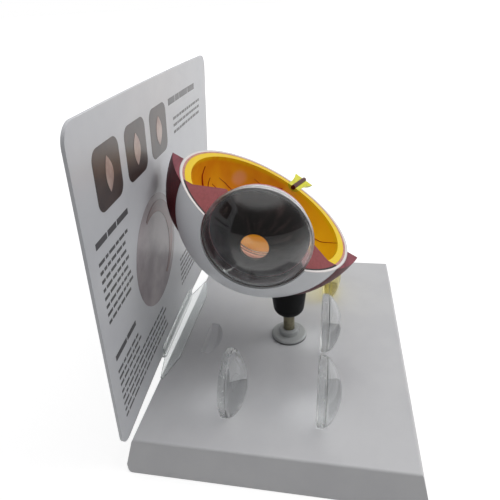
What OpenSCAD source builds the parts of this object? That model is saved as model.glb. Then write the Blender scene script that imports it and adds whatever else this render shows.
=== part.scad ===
// Desk model of a human eye with a set of loose cataract lenses.
// X runs along the long side of the base, the eye looks along -X, Z is up.
// The origin is on the table, under the middle of the base and card together.
// Places "across the base" are measured from the base's middle. Sizes are millimetres.

/* [Base] */
// Length of the base
base_len = 165; // [150:1:190]
// Depth of the base
base_wid = 127; // [122:1:140]
// Height of the base
base_h = 16; // [14:0.5:20]
// Place of the base's middle across the whole model
base_y = -2; // [-3:0.5:0]
// How far each side leans in from bottom to top
base_lean = 4.2; // [2:0.1:6]
// Radius of the upright corners
base_corner_r = 3.5; // [2:0.5:8]
// Radius of the top edge
base_edge_r = 1.2; // [0.6:0.1:2]
// Thickness of the base's walls
base_wall = 2.4; // [1.6:0.1:3.2]
// Thickness of the stiffening ribs below
rib_t = 1.8; // [1.2:0.1:2.4]
// Height of the ribs below the top plate
rib_h = 5; // [4:0.5:8]
// Distance of the two cross ribs from the base's middle
rib_x = 28; // [26:0.5:29]
// Distance of the two long ribs from the base's middle
rib_y = 38; // [36:0.5:44]

/* [Stand] */
// Place of the rod along the base
stand_x = -2; // [-6:0.5:2]
// Distance of the rod from the back edge of the base
stand_margin = 64.3; // [62.5:0.1:66]
// Diameter of the metal rod
rod_d = 6; // [5:0.5:7]
// Diameter of the white foot disc
foot_d = 18.8; // [16:0.2:22]
// Thickness of the foot disc
foot_t = 2; // [1.5:0.1:3]
// Radius of the foot disc's edge
foot_edge_r = 1.2; // [0.6:0.1:1.4]
// Diameter of the collar on the foot
collar_d = 10.5; // [9:0.5:12]
// Height of the collar above the foot disc
collar_h = 3; // [2:0.5:4]
// Diameter of the black socket where it meets the eye
socket_d = 19.4; // [17:0.2:21]
// Diameter of the socket above its rounded bottom
socket_low_d = 16.4; // [14:0.2:18]
// Radius of the collar's edge
collar_edge_r = 0.8; // [0.4:0.1:1.2]
// Gap between the foot's collar and the socket
rod_gap = 10.5; // [8:0.5:12]
// Height of the socket's rounded bottom
socket_round_h = 5; // [3:0.5:7]
// Diameter of the flat lip under the socket's rounded bottom
socket_lip_d = 8.4; // [8:0.1:9.6]
// How far the rod goes into the socket
rod_grip = 11.5; // [9:0.5:12]
// Width of the chamfer at the rod's ends
rod_chamfer = 0.8; // [0.4:0.1:1.2]
// Diameter of the stub on the eye that the socket holds
stub_d = 10; // [8:0.5:11]
// Thickness of the washer under the base
washer_t = 1.2; // [1:0.1:1.6]
// Diameter of the washer under the base
washer_d = 13; // [12:0.5:14]
// Thickness of the nut under the base
nut_t = 4.6; // [4:0.1:5]
// Width of the nut across its flats
nut_af = 10; // [10:0.5:11]
// Height of the boss's floor above the nut's lower face and the table
nut_clear = 2; // [1.5:0.1:3]

/* [Eyeball] */
// Outer diameter of the white shell
eye_d = 88.4; // [84:0.2:90]
// Distance of the eye's centre from the back edge of the base
eye_margin = 55.7; // [54.5:0.1:57]
// Height of the eye's lowest point above the base's top
eye_rise = 34; // [32:0.2:38]
// Lean of the cut face towards the front of the base, in degrees
eye_tilt = 31; // [26:1:34]
// Depth of the cut face below the optic axis
cut_drop = 1.6; // [0.8:0.2:2.4]
// Thickness of the white outer coat
sclera_t = 1.3; // [1.1:0.1:1.8]
// Thickness of the pink middle coat
choroid_t = 0.9; // [0.7:0.1:1.4]
// Thickness of the yellow inner coat
retina_t = 3; // [2.4:0.1:3.4]
// Distance in front of the centre at which the two inner coats end
coat_front = 19; // [17:0.5:21]

/* [Front of the eye] */
// Diameter of the opening that takes the clear cap
opening_d = 46; // [44:0.5:48]
// Side play of the clear cap in its opening
cap_play = 0.35; // [0.3:0.05:0.5]
// Wall of the clear cap
cap_t = 1; // [0.8:0.1:1.3]
// Outer diameter of the clear cap at its narrower back end
cap_back_d = 42.6; // [42:0.1:44]
// Wall of the clear cap at its back end
cap_back_t = 0.6; // [0.5:0.1:0.9]
// Depth of the dome's edge behind the outer rim of the opening
cap_sink = 1.25; // [0:0.05:1.6]
// Height of the dome above its edge
cap_rise = 11.5; // [10:0.5:12]
// Distance from the eye's centre to the back of the iris ring
ring_back = 29.8; // [29:0.1:30.4]
// Thickness of the pink iris ring
ring_t = 1.6; // [1.2:0.1:2]
// Inner diameter of the pink iris ring
ring_bore = 36; // [34:0.5:37]
// Gap between the iris ring and the ciliary body behind it
ring_gap = 0.3; // [0.2:0.05:0.5]
// Thickness of the dark iris
iris_t = 1.4; // [1:0.1:1.8]
// Height of the iris from its edge to the rim of the pupil
iris_rise = 11.5; // [10:0.1:12]
// Diameter of the pupil
pupil_d = 11.2; // [9:0.2:13]
// Distance from the eye's centre to the inner rim of the ciliary body
ciliary_back = 7; // [5:0.5:9]
// Diameter of the ciliary body at that rim
ciliary_rim_d = 42; // [40:0.5:44]
// Width of the ciliary body's rounded-off rim
ciliary_rim_w = 1; // [0.6:0.1:1.6]
// How far the two lips of the lens groove reach over the lens
groove_lip = 1.1; // [0.8:0.1:1.4]
// Thickness of each lip of the lens groove
lip_t = 1.5; // [1:0.1:2]

/* [Lenses] */
// Diameter of each lens
lens_d = 31; // [29:0.5:31.5]
// Bulge of the flatter face
lens_flat_rise = 0.6; // [0.4:0.1:1.2]
// Bulge of the fuller face
lens_full_rise = 6.8; // [6:0.1:7.4]
// Thickness of the rim between the two faces
lens_rim_t = 3.6; // [3:0.1:4]
// Play round a lens in its seat
lens_play = 0.3; // [0.3:0.05:0.4]
// How deep a lens stands in the base
lens_sink = 5.6; // [5:0.1:6.3]
// Wall round each pocket below the base's top
pocket_wall = 1.8; // [1.4:0.1:2.2]
// Distance from the eye's centre to the rim of the lens inside it
inner_lens_front = 22; // [21.5:0.1:22.4]
// Distance of the first lens from the left end of the base
left_margin = 32.5; // [28:0.5:34]
// Distance of the last lens of the front row from the right end of the base
right_margin = 37.5; // [32:0.5:40]
// Distance of the front row from the back edge of the base
front_row_margin = 83.5; // [81.5:0.5:86.5]
// Distance of the back row from the back edge of the base
back_margin = 41.5; // [39:0.5:44]
// Distance of the empty pocket from the left end of the base
spare_left_margin = 72.5; // [68:0.5:76]
// Distance of the empty pocket from the back edge of the base
spare_back_margin = 21.5; // [20.5:0.5:23]

/* [Optic nerve] */
// Angle between the nerve and the optic axis, in degrees
nerve_angle = 15.5; // [12:0.5:18]
// Diameter of the nerve where it leaves the eye
nerve_d = 7.8; // [6.5:0.1:9]
// Diameter of the nerve's flared end
nerve_end_d = 12.4; // [10:0.2:13]
// Length of the nerve outside the eye
nerve_len = 14; // [10:0.5:15]
// Length of the straight part of the nerve behind the white coat
nerve_neck = 1.5; // [1:0.1:3]
// Diameter of the nerve half-way along its flare
nerve_mid_d = 9.4; // [8:0.1:10]
// Diameter of the blood vessel in the nerve
vessel_d = 2.6; // [2:0.1:3]
// Depth of the vessel's middle line below the nerve's cut face
vessel_sink = 0.3; // [0:0.1:0.6]
// How far the vessel stands out at each end of the nerve
vessel_proud = 0.4; // [0.2:0.1:0.6]

/* [Muscles] */
// Distance in front of the eye's centre at which each muscle starts
muscle_front = 22; // [20:0.5:24]
// Thickness of each muscle at its cut end
muscle_t = 5.6; // [4.5:0.1:6]
// Distance in front of the centre at which each muscle is cut off
muscle_back = 1; // [0:0.5:4]
// How far each muscle reaches down the side of the eye at its cut end
muscle_drop = 14; // [10:0.5:18]
// How far its front tip reaches down the side of the eye
muscle_tip_drop = 24; // [20:0.5:26]
// Distance in front of the eye's centre of that lowest point
muscle_tip_front = 20; // [18:0.5:22]
// Angle of the slanting cut across each muscle's end, in degrees
muscle_slant = 38; // [20:1:50]

/* [Card] */
// Length of the card
card_len = 166; // [150:1:180]
// Height of the card
card_h = 134.7; // [120:0.1:150]
// Thickness of the card
card_t = 1.2; // [0.8:0.1:1.6]
// Radius of the card's corners
card_corner_r = 7; // [4:0.5:12]
// Radius to which the card is gently bowed
card_bow_r = 2180; // [1500:20:3200]
// Distance of the card's foot behind the back edge of the base
card_gap = 1.5; // [1:0.1:3.5]
// Height of the card's lower edge above the base's top
card_step = 0.4; // [0:0.1:1]
// Lean of the card towards the eye, in degrees
card_lean = 3.8; // [2:0.1:4]
// Turn of the card and its channel away from the base's back edge, in degrees
card_turn = 1.6; // [0:0.1:2]
// Length of the clear holder
holder_len = 54; // [44:1:60]
// Wall of the clear holder
holder_t = 1.4; // [1.2:0.1:1.8]
// Height of the holder's channel above the card's lower edge
holder_grip = 6; // [4:0.5:9]
// Width of the holder's flange on the base
holder_flange = 5.5; // [4:0.5:7]
// Length of each tapered ear of the holder
holder_ear = 16; // [10:1:20]
// Width of each ear at its tip
holder_tip = 1.2; // [1:0.1:2]
// Distance of each tip from the edge of the base's top
holder_inset = 0.4; // [0.2:0.1:1]
// Play between the card and the holder in front of it
holder_play = 0.6; // [0.5:0.05:0.8]
// Play between the card and the holder behind it
holder_play_back = 0.3; // [0.3:0.05:0.5]

/* [Hidden] */
$fn = 96;

seat_gap = 0.1;                     // between pieces that are glued or moulded together
weld = 0.02;                        // overlap between two shapes of one moulded piece
turn_fit = 0.05;                    // running fit of the socket on the rod
rod_play = 0.15;                    // free fit of the rod in the base, the foot and the washer
nut_fit = 0.05;                     // fit of the nut on the rod
big = 400;                          // larger than the whole model

// coats of the eye, from the outside inwards
eye_r = eye_d / 2;
eye_z = base_h + eye_rise + eye_r;
skin_r = eye_r + seat_gap;
sclera_in = eye_r - sclera_t;
choroid_out = sclera_in - seat_gap;
choroid_in = choroid_out - choroid_t;
retina_out = choroid_in - seat_gap;
retina_in = retina_out - retina_t;

// places across the base, measured from its middle
stand_y = base_wid / 2 - stand_margin;
eye_y = base_wid / 2 - eye_margin;

// heights along the rod
boss_floor = nut_clear + nut_t + washer_t;
boss_d = washer_d + 4;
rod_low = nut_clear - rod_chamfer;
socket_low = base_h + foot_t + collar_h + rod_gap;
bore_top = socket_low + rod_grip;
rod_end_gap = 0.5;
socket_web = 2;                     // between the rod's bore and the eye's stub
stub_low = bore_top + socket_web;

// front of the eye
opening_r = opening_d / 2;
cap_edge = sqrt(pow(eye_r, 2) - pow(opening_r, 2)) - cap_sink;
cap_r = opening_r - cap_play;
cap_in_r = cap_r - cap_t;
cap_back_r = cap_back_d / 2;
cap_back_in_r = cap_back_r - cap_back_t;
dome_r = (pow(cap_r, 2) + pow(cap_rise, 2)) / (2 * cap_rise);
dome_centre = cap_edge + cap_rise - dome_r;
iris_front = ring_back + ring_t;
cap_taper = (cap_r - cap_back_r) / (cap_edge - iris_front);
iris_edge_r = cap_back_in_r - seat_gap;
pupil_r = pupil_d / 2;
// sphere that passes through the iris's edge and the pupil's rim
iris_a = (pow(iris_edge_r, 2) - pow(pupil_r, 2) - pow(iris_rise, 2)) / (2 * iris_rise);
iris_r = sqrt(pow(iris_a, 2) + pow(iris_edge_r, 2));
iris_centre = iris_front - iris_a;

// lenses
lens_r = lens_d / 2;
lens_z = base_h - lens_sink + lens_r;
lens_x = left_margin - base_len / 2;
lens_pitch = (base_len - left_margin - right_margin) / 2;
front_row_y = base_wid / 2 - front_row_margin;
back_row_y = base_wid / 2 - back_margin;
spare_x = spare_left_margin - base_len / 2;
spare_y = base_wid / 2 - spare_back_margin;
full_face_r = (pow(lens_r, 2) + pow(lens_full_rise, 2)) / (2 * lens_full_rise);
flat_face_r = (pow(lens_r, 2) + pow(lens_flat_rise, 2)) / (2 * lens_flat_rise);

// seat of the lens inside the eye
groove_r = lens_r + lens_play;
lip_r = groove_r - groove_lip;
groove_front = inner_lens_front + lens_rim_t / 2 + lens_play
    + lens_bulge(flat_face_r, lens_flat_rise, lip_r);
groove_back = inner_lens_front - lens_rim_t / 2 - lens_play
    - lens_bulge(full_face_r, lens_full_rise, lip_r);
ring_recess = ring_back - ring_gap;
cap_seat = cap_play + seat_gap;     // room round the cap and the ring in the ciliary body

// nerve
nerve_r = nerve_d / 2;
nerve_end = eye_r + nerve_len;

// card and holder: faces of the channel in the card's own frame
channel_front = -card_t / 2 - holder_play;
channel_back = card_t / 2 + holder_play_back;
card_y = base_wid / 2 + card_gap;
card_z = base_h + card_step;
top_edge_y = base_wid / 2 - base_lean;
flange_y = top_edge_y - holder_flange;
bridge_y = card_y + channel_front - holder_t / 2;

// radius of the cap's tapered wall, and of its seat, at a distance from the eye's centre
function cap_cone(at) = cap_r - cap_taper * (cap_edge - at);

// height of a lens face above the lens's rim at a distance from its middle
function lens_bulge(face_r, rise, at) = sqrt(pow(face_r, 2) - pow(at, 2)) - face_r + rise;

function arc(cx, cy, r, from, to, n) =
    [for (i = [0:n]) let (a = from + (to - from) * i / n) [cx + r * cos(a), cy + r * sin(a)]];

// ---------- frames ----------

// the eye's own frame: the cut face is level and the eye looks along -X
module in_eye() {
    translate([stand_x, base_y + eye_y, eye_z]) rotate([eye_tilt, 0, 0]) children();
}

// turns a shape drawn along +Z so that it points the way the eye looks
module looking() {
    rotate([0, -90, 0]) children();
}

// turns a shape drawn along +Z so that it points out along the optic nerve
module along_nerve() {
    rotate([0, 0, -nerve_angle]) rotate([0, 90, 0]) children();
}

module on_base() {
    translate([0, base_y, 0]) children();
}

// around the rod's axis
module on_stand() {
    translate([stand_x, base_y + stand_y, 0]) children();
}

// the card's own frame: middle of its lower edge, leaning like the card
module in_card() {
    translate([0, base_y + card_y, card_z]) rotate([card_lean, 0, 0])
        rotate([0, 0, card_turn]) children();
}

// everything below the cut face, in the eye's frame
module below_cut() {
    translate([-big / 2, -big / 2, -cut_drop - big]) cube([big, big, big]);
}

// everything behind a plane across the optic axis
module behind(distance) {
    translate([-distance, -big / 2, -big / 2]) cube([big, big, big]);
}

module tube(outer_r, inner_r, h) {
    difference() {
        cylinder(r = outer_r, h = h);
        translate([0, 0, -1]) cylinder(r = inner_r, h = h + 2);
    }
}

module hollow_ball(outer_r, inner_r) {
    difference() {
        sphere(r = outer_r, $fn = 128);
        sphere(r = inner_r, $fn = 128);
    }
}

module rounded_rectangle(length, width, r) {
    union() {
        square([length - 2 * r, width], center = true);
        square([length, width - 2 * r], center = true);
        for (x = [-1, 1], y = [-1, 1])
            translate([x * (length / 2 - r), y * (width / 2 - r)]) circle(r = r);
    }
}

// ---------- base ----------

// side view of a block whose sides lean in and whose top edges are rounded
module leaning_side(width, h, lean, r) {
    half = width / 2;
    turn = 90 - atan(lean / h);
    top = half - lean - r * tan(turn / 2);
    polygon(concat(
        [[-half, 0], [half, 0]],
        arc(top, h - r, r, 90 - turn, 90, 5),
        arc(-top, h - r, r, 90, 90 + turn, 5)
    ));
}

module leaning_block(length, width, h, lean, corner_r, edge_r) {
    intersection() {
        rotate([90, 0, 0]) linear_extrude(height = big, center = true)
            leaning_side(length, h, lean, edge_r);
        rotate([90, 0, 90]) linear_extrude(height = big, center = true)
            leaning_side(width, h, lean, edge_r);
        linear_extrude(height = h) rounded_rectangle(length, width, corner_r);
    }
}

// a lens standing on its rim; "grow" makes the room or the wall round it
module standing_lens(grow = 0) {
    rotate([90, 0, 0]) lens_solid(grow);
}

module front_place(column) {
    translate([lens_x + column * lens_pitch, front_row_y, lens_z]) children();
}

module back_place() {
    translate([lens_x, back_row_y, lens_z]) children();
}

module each_pocket() {
    for (column = [0:2]) front_place(column) children();
    back_place() children();
    translate([spare_x, spare_y, lens_z]) children();
}

module base_shell() {
    color("gainsboro")
    difference() {
        on_base() union() {
            difference() {
                leaning_block(base_len, base_wid, base_h, base_lean, base_corner_r, base_edge_r);
                translate([0, 0, -1])
                    leaning_block(base_len - 2 * base_wall, base_wid - 2 * base_wall,
                        base_h - base_wall + 1, base_lean, base_corner_r, base_edge_r);
            }
            intersection() {
                leaning_block(base_len, base_wid, base_h - base_wall / 2, base_lean,
                    base_corner_r, base_edge_r);
                union() {
                    base_ribs();
                    each_pocket() standing_lens(lens_play + pocket_wall);
                    translate([stand_x, stand_y, boss_floor]) cylinder(d = boss_d, h = base_h);
                }
            }
        }
        on_base() each_pocket() standing_lens(lens_play);
        on_stand() translate([0, 0, -1]) cylinder(r = rod_d / 2 + rod_play, h = base_h + 2);
    }
}

// ribs hang below the top plate and end at the side walls
module base_ribs() {
    low = base_h - base_wall - rib_h;
    for (y = [-rib_y, stand_y, rib_y])
        translate([-base_len / 2, y - rib_t / 2, low]) cube([base_len, rib_t, base_h]);
    for (x = [-rib_x, rib_x])
        translate([x - rib_t / 2, -base_wid / 2, low]) cube([rib_t, base_wid, base_h]);
}

// ---------- stand ----------

// side view of a disc with a rounded upper edge
module disc_side(r, h, edge_r) {
    polygon(concat(
        [[0, 0], [r, 0]],
        arc(r - edge_r, h - edge_r, edge_r, 0, 90, 6),
        [[0, h]]
    ));
}

module stand_foot() {
    color("whitesmoke")
    on_stand() translate([0, 0, base_h]) difference() {
        union() {
            rotate_extrude() disc_side(foot_d / 2, foot_t, foot_edge_r);
            rotate_extrude() disc_side(collar_d / 2, foot_t + collar_h, collar_edge_r);
        }
        translate([0, 0, -1]) cylinder(r = rod_d / 2 + rod_play, h = foot_t + collar_h + 2);
    }
}

// a plain rod with chamfered ends, held by the nut below the base
module stand_rod() {
    r = rod_d / 2;
    top = bore_top - rod_end_gap;
    color("darkkhaki")
    on_stand() rotate_extrude() polygon([
        [0, rod_low], [r - rod_chamfer, rod_low], [r, rod_low + rod_chamfer],
        [r, top - rod_chamfer], [r - rod_chamfer, top], [0, top]
    ]);
}

module rod_washer() {
    color("silver")
    on_stand() translate([0, 0, boss_floor - washer_t])
        tube(washer_d / 2, rod_d / 2 + rod_play, washer_t);
}

module rod_nut() {
    flat_r = nut_af / 2;
    chamfer = flat_r / cos(30) - flat_r;
    color("silver")
    on_stand() translate([0, 0, nut_clear]) difference() {
        intersection() {
            cylinder(r = flat_r / cos(30), h = nut_t, $fn = 6);
            rotate_extrude() polygon([
                [0, 0], [flat_r, 0], [flat_r + chamfer, chamfer],
                [flat_r + chamfer, nut_t - chamfer], [flat_r, nut_t], [0, nut_t]
            ]);
        }
        translate([0, 0, -1]) cylinder(r = rod_d / 2 + nut_fit, h = nut_t + 2);
    }
}

// black tapered cup that carries the eye and turns on the rod
module rod_socket() {
    r = socket_low_d / 2;
    lip = socket_lip_d / 2;
    color("black")
    difference() {
        on_stand() translate([0, 0, socket_low]) rotate_extrude() polygon(concat(
            [[0, 0]],
            [for (i = [0:10]) let (a = 90 * i / 10)
                [lip + (r - lip) * sin(a), socket_round_h * (1 - cos(a))]],
            [[socket_d / 2, eye_z - eye_r - socket_low],
             [socket_d / 2, eye_z - socket_low], [0, eye_z - socket_low]]
        ));
        in_eye() sphere(r = skin_r, $fn = 128);
        on_stand() translate([0, 0, socket_low - 1]) cylinder(r = rod_d / 2 + turn_fit, h = rod_grip + 1);
        on_stand() translate([0, 0, stub_low - seat_gap]) cylinder(r = stub_d / 2 + seat_gap, h = big);
    }
}

// ---------- coats of the eye ----------

module front_opening() {
    looking() cylinder(r = opening_r, h = big);
}

module nerve_hole(r) {
    along_nerve() cylinder(r = r, h = big);
}

module sclera_shell() {
    color("white")
    union() {
        in_eye() intersection() {
            difference() {
                hollow_ball(eye_r, sclera_in);
                front_opening();
                nerve_hole(nerve_r + seat_gap);
            }
            below_cut();
        }
        // the stub ends half-way into the shell's wall
        difference() {
            on_stand() translate([0, 0, stub_low]) cylinder(d = stub_d, h = eye_z - stub_low);
            in_eye() sphere(r = eye_r - sclera_t / 2, $fn = 128);
        }
    }
}

module inner_coat(outer_r, inner_r) {
    in_eye() intersection() {
        difference() {
            hollow_ball(outer_r, inner_r);
            nerve_hole(nerve_r + seat_gap);
        }
        below_cut();
        behind(coat_front);
    }
}

module choroid_coat() {
    color("rosybrown") inner_coat(choroid_out, choroid_in);
}

module retina_coat() {
    color("gold") inner_coat(retina_out, retina_in);
}

// wedge-shaped half ring behind the iris, with a groove that holds the lens
module ciliary_body() {
    rim_r = ciliary_rim_d / 2;
    back_face = coat_front + seat_gap;
    wall_r = sqrt(pow(retina_in, 2) - pow(coat_front, 2)) - seat_gap;
    recess_r = cap_r + cap_seat;
    color("indianred")
    in_eye() intersection() {
        looking() rotate_extrude() polygon([
            [lip_r, groove_back - lip_t], [lip_r, groove_back],
            [groove_r, groove_back], [groove_r, groove_front],
            [lip_r, groove_front], [lip_r, groove_front + lip_t],
            [ring_bore / 2, ring_recess], [cap_cone(ring_recess) + cap_seat, ring_recess],
            [recess_r, cap_edge], [recess_r, eye_r], [eye_r, eye_r],
            [eye_r, back_face], [wall_r, back_face],
            [rim_r, ciliary_back], [rim_r - ciliary_rim_w, ciliary_back]
        ]);
        sphere(r = sclera_in - seat_gap, $fn = 128);
        below_cut();
    }
}

// ---------- nerve ----------

module nerve_body() {
    rotate_extrude() polygon([
        [0, retina_in], [nerve_r, retina_in], [nerve_r, eye_r + nerve_neck],
        [nerve_mid_d / 2, (eye_r + nerve_neck + nerve_end) / 2],
        [nerve_end_d / 2, nerve_end], [0, nerve_end]
    ]);
}

module optic_nerve() {
    color("yellowgreen")
    in_eye() difference() {
        intersection() {
            along_nerve() nerve_body();
            below_cut();
        }
        nerve_vessel_line(vessel_d / 2 + seat_gap);
    }
}

// the vessel lies half sunk in the nerve's cut face
module nerve_vessel_line(r) {
    translate([0, 0, -cut_drop - vessel_sink]) along_nerve()
        translate([0, 0, retina_in - vessel_proud])
            cylinder(r = r, h = nerve_end - retina_in + 2 * vessel_proud);
}

module nerve_vessel() {
    color("darkred") in_eye() nerve_vessel_line(vessel_d / 2);
}

// ---------- muscles ----------

// a strap that starts on the white coat and swells backwards to its cut end.
// Its outer face is part of a sphere set back behind the eye's centre.
module muscle_strap() {
    end_y = sqrt(pow(skin_r, 2) - pow(muscle_back, 2)) + muscle_t;
    set_back = (pow(end_y, 2) + pow(muscle_back, 2) - pow(skin_r, 2))
        / (2 * (muscle_front - muscle_back));
    outer_r = sqrt(pow(skin_r, 2) + 2 * muscle_front * set_back + pow(set_back, 2));
    intersection() {
        difference() {
            translate([set_back, 0, 0]) sphere(r = outer_r, $fn = 128);
            sphere(r = skin_r, $fn = 128);
        }
        below_cut();
        // side view: the lower edge drops from the cut end down to the front tip
        rotate([90, 0, 0]) linear_extrude(height = big) polygon(concat(
            [[-big, big], [-big, -muscle_tip_drop]],
            [for (i = [0:8]) let (a = 90 * i / 8)
                [-muscle_tip_front + (muscle_tip_front - muscle_back) * sin(a),
                 -muscle_tip_drop + (muscle_tip_drop - muscle_drop) * (1 - cos(a))]],
            [[-muscle_back, big]]
        ));
        // slanting cut across the rear end
        translate([-muscle_back, -eye_r, 0]) rotate([0, 0, muscle_slant])
            translate([-big, -big / 2, -big / 2]) cube([big, big, big]);
    }
}

module outer_muscle() {
    color("brown") in_eye() mirror([0, 1, 0]) muscle_strap();
}

module inner_muscle() {
    color("brown") in_eye() muscle_strap();
}

// ---------- parts that come off the front ----------

module cornea_cap() {
    color("lightcyan", 0.4)
    in_eye() looking() union() {
        rotate_extrude() polygon([
            [cap_back_in_r, iris_front], [cap_back_r, iris_front], [cap_r, cap_edge],
            [cap_r, cap_edge + weld], [cap_in_r, cap_edge + weld], [cap_in_r, cap_edge]
        ]);
        intersection() {
            translate([0, 0, dome_centre]) hollow_ball(dome_r, dome_r - cap_t);
            translate([0, 0, cap_edge]) cylinder(r = cap_r, h = big);
        }
    }
}

module iris_disc() {
    color("#3a2c28")
    in_eye() looking() difference() {
        intersection() {
            translate([0, 0, iris_centre]) hollow_ball(iris_r, iris_r - iris_t);
            translate([0, 0, iris_front]) cylinder(r = iris_edge_r, h = big);
        }
        cylinder(r = pupil_r, h = big);
    }
}

module iris_ring() {
    color("rosybrown")
    in_eye() looking() translate([0, 0, ring_back])
        tube(cap_cone(ring_back), ring_bore / 2, ring_t);
}

// ---------- lenses ----------

// lens on its side: the fuller face points along +Z, the flatter face along -Z
module lens_solid(grow = 0) {
    intersection() {
        translate([0, 0, lens_full_rise + lens_rim_t / 2 - full_face_r])
            sphere(r = full_face_r + grow, $fn = 128);
        translate([0, 0, flat_face_r - lens_flat_rise - lens_rim_t / 2])
            sphere(r = flat_face_r + grow, $fn = 128);
        cylinder(r = lens_r + grow, h = big, center = true);
    }
}

module eye_lens() {
    color("azure", 0.5)
    in_eye() looking() translate([0, 0, inner_lens_front]) mirror([0, 0, 1]) lens_solid();
}

module lens_front_left() {
    color("azure", 0.5) on_base() front_place(0) standing_lens();
}

module lens_front_middle() {
    color("azure", 0.5) on_base() front_place(1) standing_lens();
}

module lens_front_right() {
    color("khaki", 0.7) on_base() front_place(2) standing_lens();
}

module lens_back_left() {
    color("azure", 0.5) on_base() back_place() standing_lens();
}

// ---------- card and its holder ----------

module info_card() {
    color("whitesmoke")
    in_card() translate([0, 0, seat_gap]) intersection() {
        translate([0, 0, card_h / 2]) rotate([90, 0, 0])
            linear_extrude(height = big, center = true)
                rounded_rectangle(card_len, card_h, card_corner_r);
        translate([0, -card_bow_r, -1]) difference() {
            cylinder(r = card_bow_r + card_t / 2, h = card_h + 2, $fn = 720);
            translate([0, 0, -1]) cylinder(r = card_bow_r - card_t / 2, h = card_h + 4, $fn = 720);
            translate([-2 * card_bow_r, -2 * card_bow_r, -1])
                cube([4 * card_bow_r, 2 * card_bow_r, card_h + 4]);
        }
    }
}

// clear moulding: flange on the base, bridge over its edge, channel for the card
module card_holder() {
    depth = channel_back - channel_front;
    color("aliceblue", 0.4)
    union() {
        in_card() difference() {
            translate([-holder_len / 2, channel_front - holder_t, -holder_t])
                cube([holder_len, depth + 2 * holder_t, holder_grip + holder_t]);
            translate([-holder_len, channel_front, 0]) cube([2 * holder_len, depth, big]);
        }
        on_base() translate([0, 0, base_h]) linear_extrude(height = holder_t) holder_plan();
    }
}

// outline of the flange, the bridge and the two tapered ears, seen from above
module holder_plan() {
    half = holder_len / 2;
    bridge_x = half - holder_t;
    skew = bridge_x * tan(card_turn);
    tip_x = half + holder_ear;
    tip_y = top_edge_y - holder_inset;
    polygon([
        [-half, flange_y], [half, flange_y], [tip_x, tip_y - holder_tip], [tip_x, tip_y],
        [bridge_x, bridge_y + skew], [-bridge_x, bridge_y - skew],
        [-tip_x, tip_y], [-tip_x, tip_y - holder_tip]
    ]);
}

base_shell();
stand_foot();
stand_rod();
rod_washer();
rod_nut();
card_holder();
info_card();
rod_socket();
sclera_shell();
choroid_coat();
retina_coat();
ciliary_body();
optic_nerve();
nerve_vessel();
outer_muscle();
inner_muscle();
cornea_cap();
iris_disc();
iris_ring();
eye_lens();
lens_front_left();
lens_front_middle();
lens_front_right();
lens_back_left();
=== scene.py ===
"""Dressing of a desk model of the human eye with loose lenses.

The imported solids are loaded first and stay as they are. Each class below dresses one
sub-assembly: the base, the stand, the card, the eyeball, its front cap and the lenses.
Sizes are in millimetres in the classes and in metres in the meshes.
"""

import logging
import math
from dataclasses import dataclass
from enum import Enum
from typing import Callable, Optional, Sequence, Union

import bmesh
import bpy
from mathutils import Matrix, Vector


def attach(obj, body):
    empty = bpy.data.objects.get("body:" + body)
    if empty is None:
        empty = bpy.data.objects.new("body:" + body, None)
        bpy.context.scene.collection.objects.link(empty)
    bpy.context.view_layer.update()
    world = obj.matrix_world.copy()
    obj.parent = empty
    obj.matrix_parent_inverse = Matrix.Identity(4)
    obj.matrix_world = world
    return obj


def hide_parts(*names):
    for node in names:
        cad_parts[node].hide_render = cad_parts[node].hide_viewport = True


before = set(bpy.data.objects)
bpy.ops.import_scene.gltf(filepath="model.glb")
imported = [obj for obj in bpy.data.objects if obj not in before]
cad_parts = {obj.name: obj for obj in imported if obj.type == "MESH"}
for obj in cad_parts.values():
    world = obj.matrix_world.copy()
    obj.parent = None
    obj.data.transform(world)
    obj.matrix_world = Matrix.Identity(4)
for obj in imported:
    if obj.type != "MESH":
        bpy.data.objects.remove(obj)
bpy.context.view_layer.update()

LOG = logging.getLogger("eye_model")
MM = 0.001
PER_MM = 1000.0

Socket = bpy.types.NodeSocket
Sockets = Sequence[Socket]
Value = Union[float, Socket]
Pair = tuple[float, float]
Triple = tuple[float, float, float]
Colour = Triple
Material = bpy.types.Material
Piece = bpy.types.Object
Place = Callable[[float, float, float], Vector]

AT_ORIGIN: Triple = (0.0, 0.0, 0.0)
WHITE: Colour = (1.0, 1.0, 1.0)


def srgb(*channels: int) -> Colour:
    """Turns a colour of 0 to 255 per channel into the linear colour that a shader takes.

    Args:
        channels: Red, green and blue.

    Returns:
        The linear colour.
    """
    shares = (c / 255 for c in channels)
    return tuple(c / 12.92 if c <= 0.04045 else ((c + 0.055) / 1.055) ** 2.4 for c in shares)


def scaled(values: Sequence[float], factor: float) -> Triple:
    """Each value times a factor."""
    return tuple(v * factor for v in values)


class Slot(Enum):
    """Material slots of the record that the added pieces take their finish from."""

    CARD = "card_print"
    VESSEL = "vessel_red"
    CAP = "cap_clear"
    LENS = "lens_clear"
    AMBER = "lens_amber"
    HOLDER = "clear_holder"


class Effect(Enum):
    """Shader groups that several finishes share."""

    GRAIN = "moulding_grain"
    EYE = "place_in_eye"
    STREAKS = "long_streaks"
    HANDLING = "handling_marks"


# ---------------------------------------------------------------- node helpers


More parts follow.
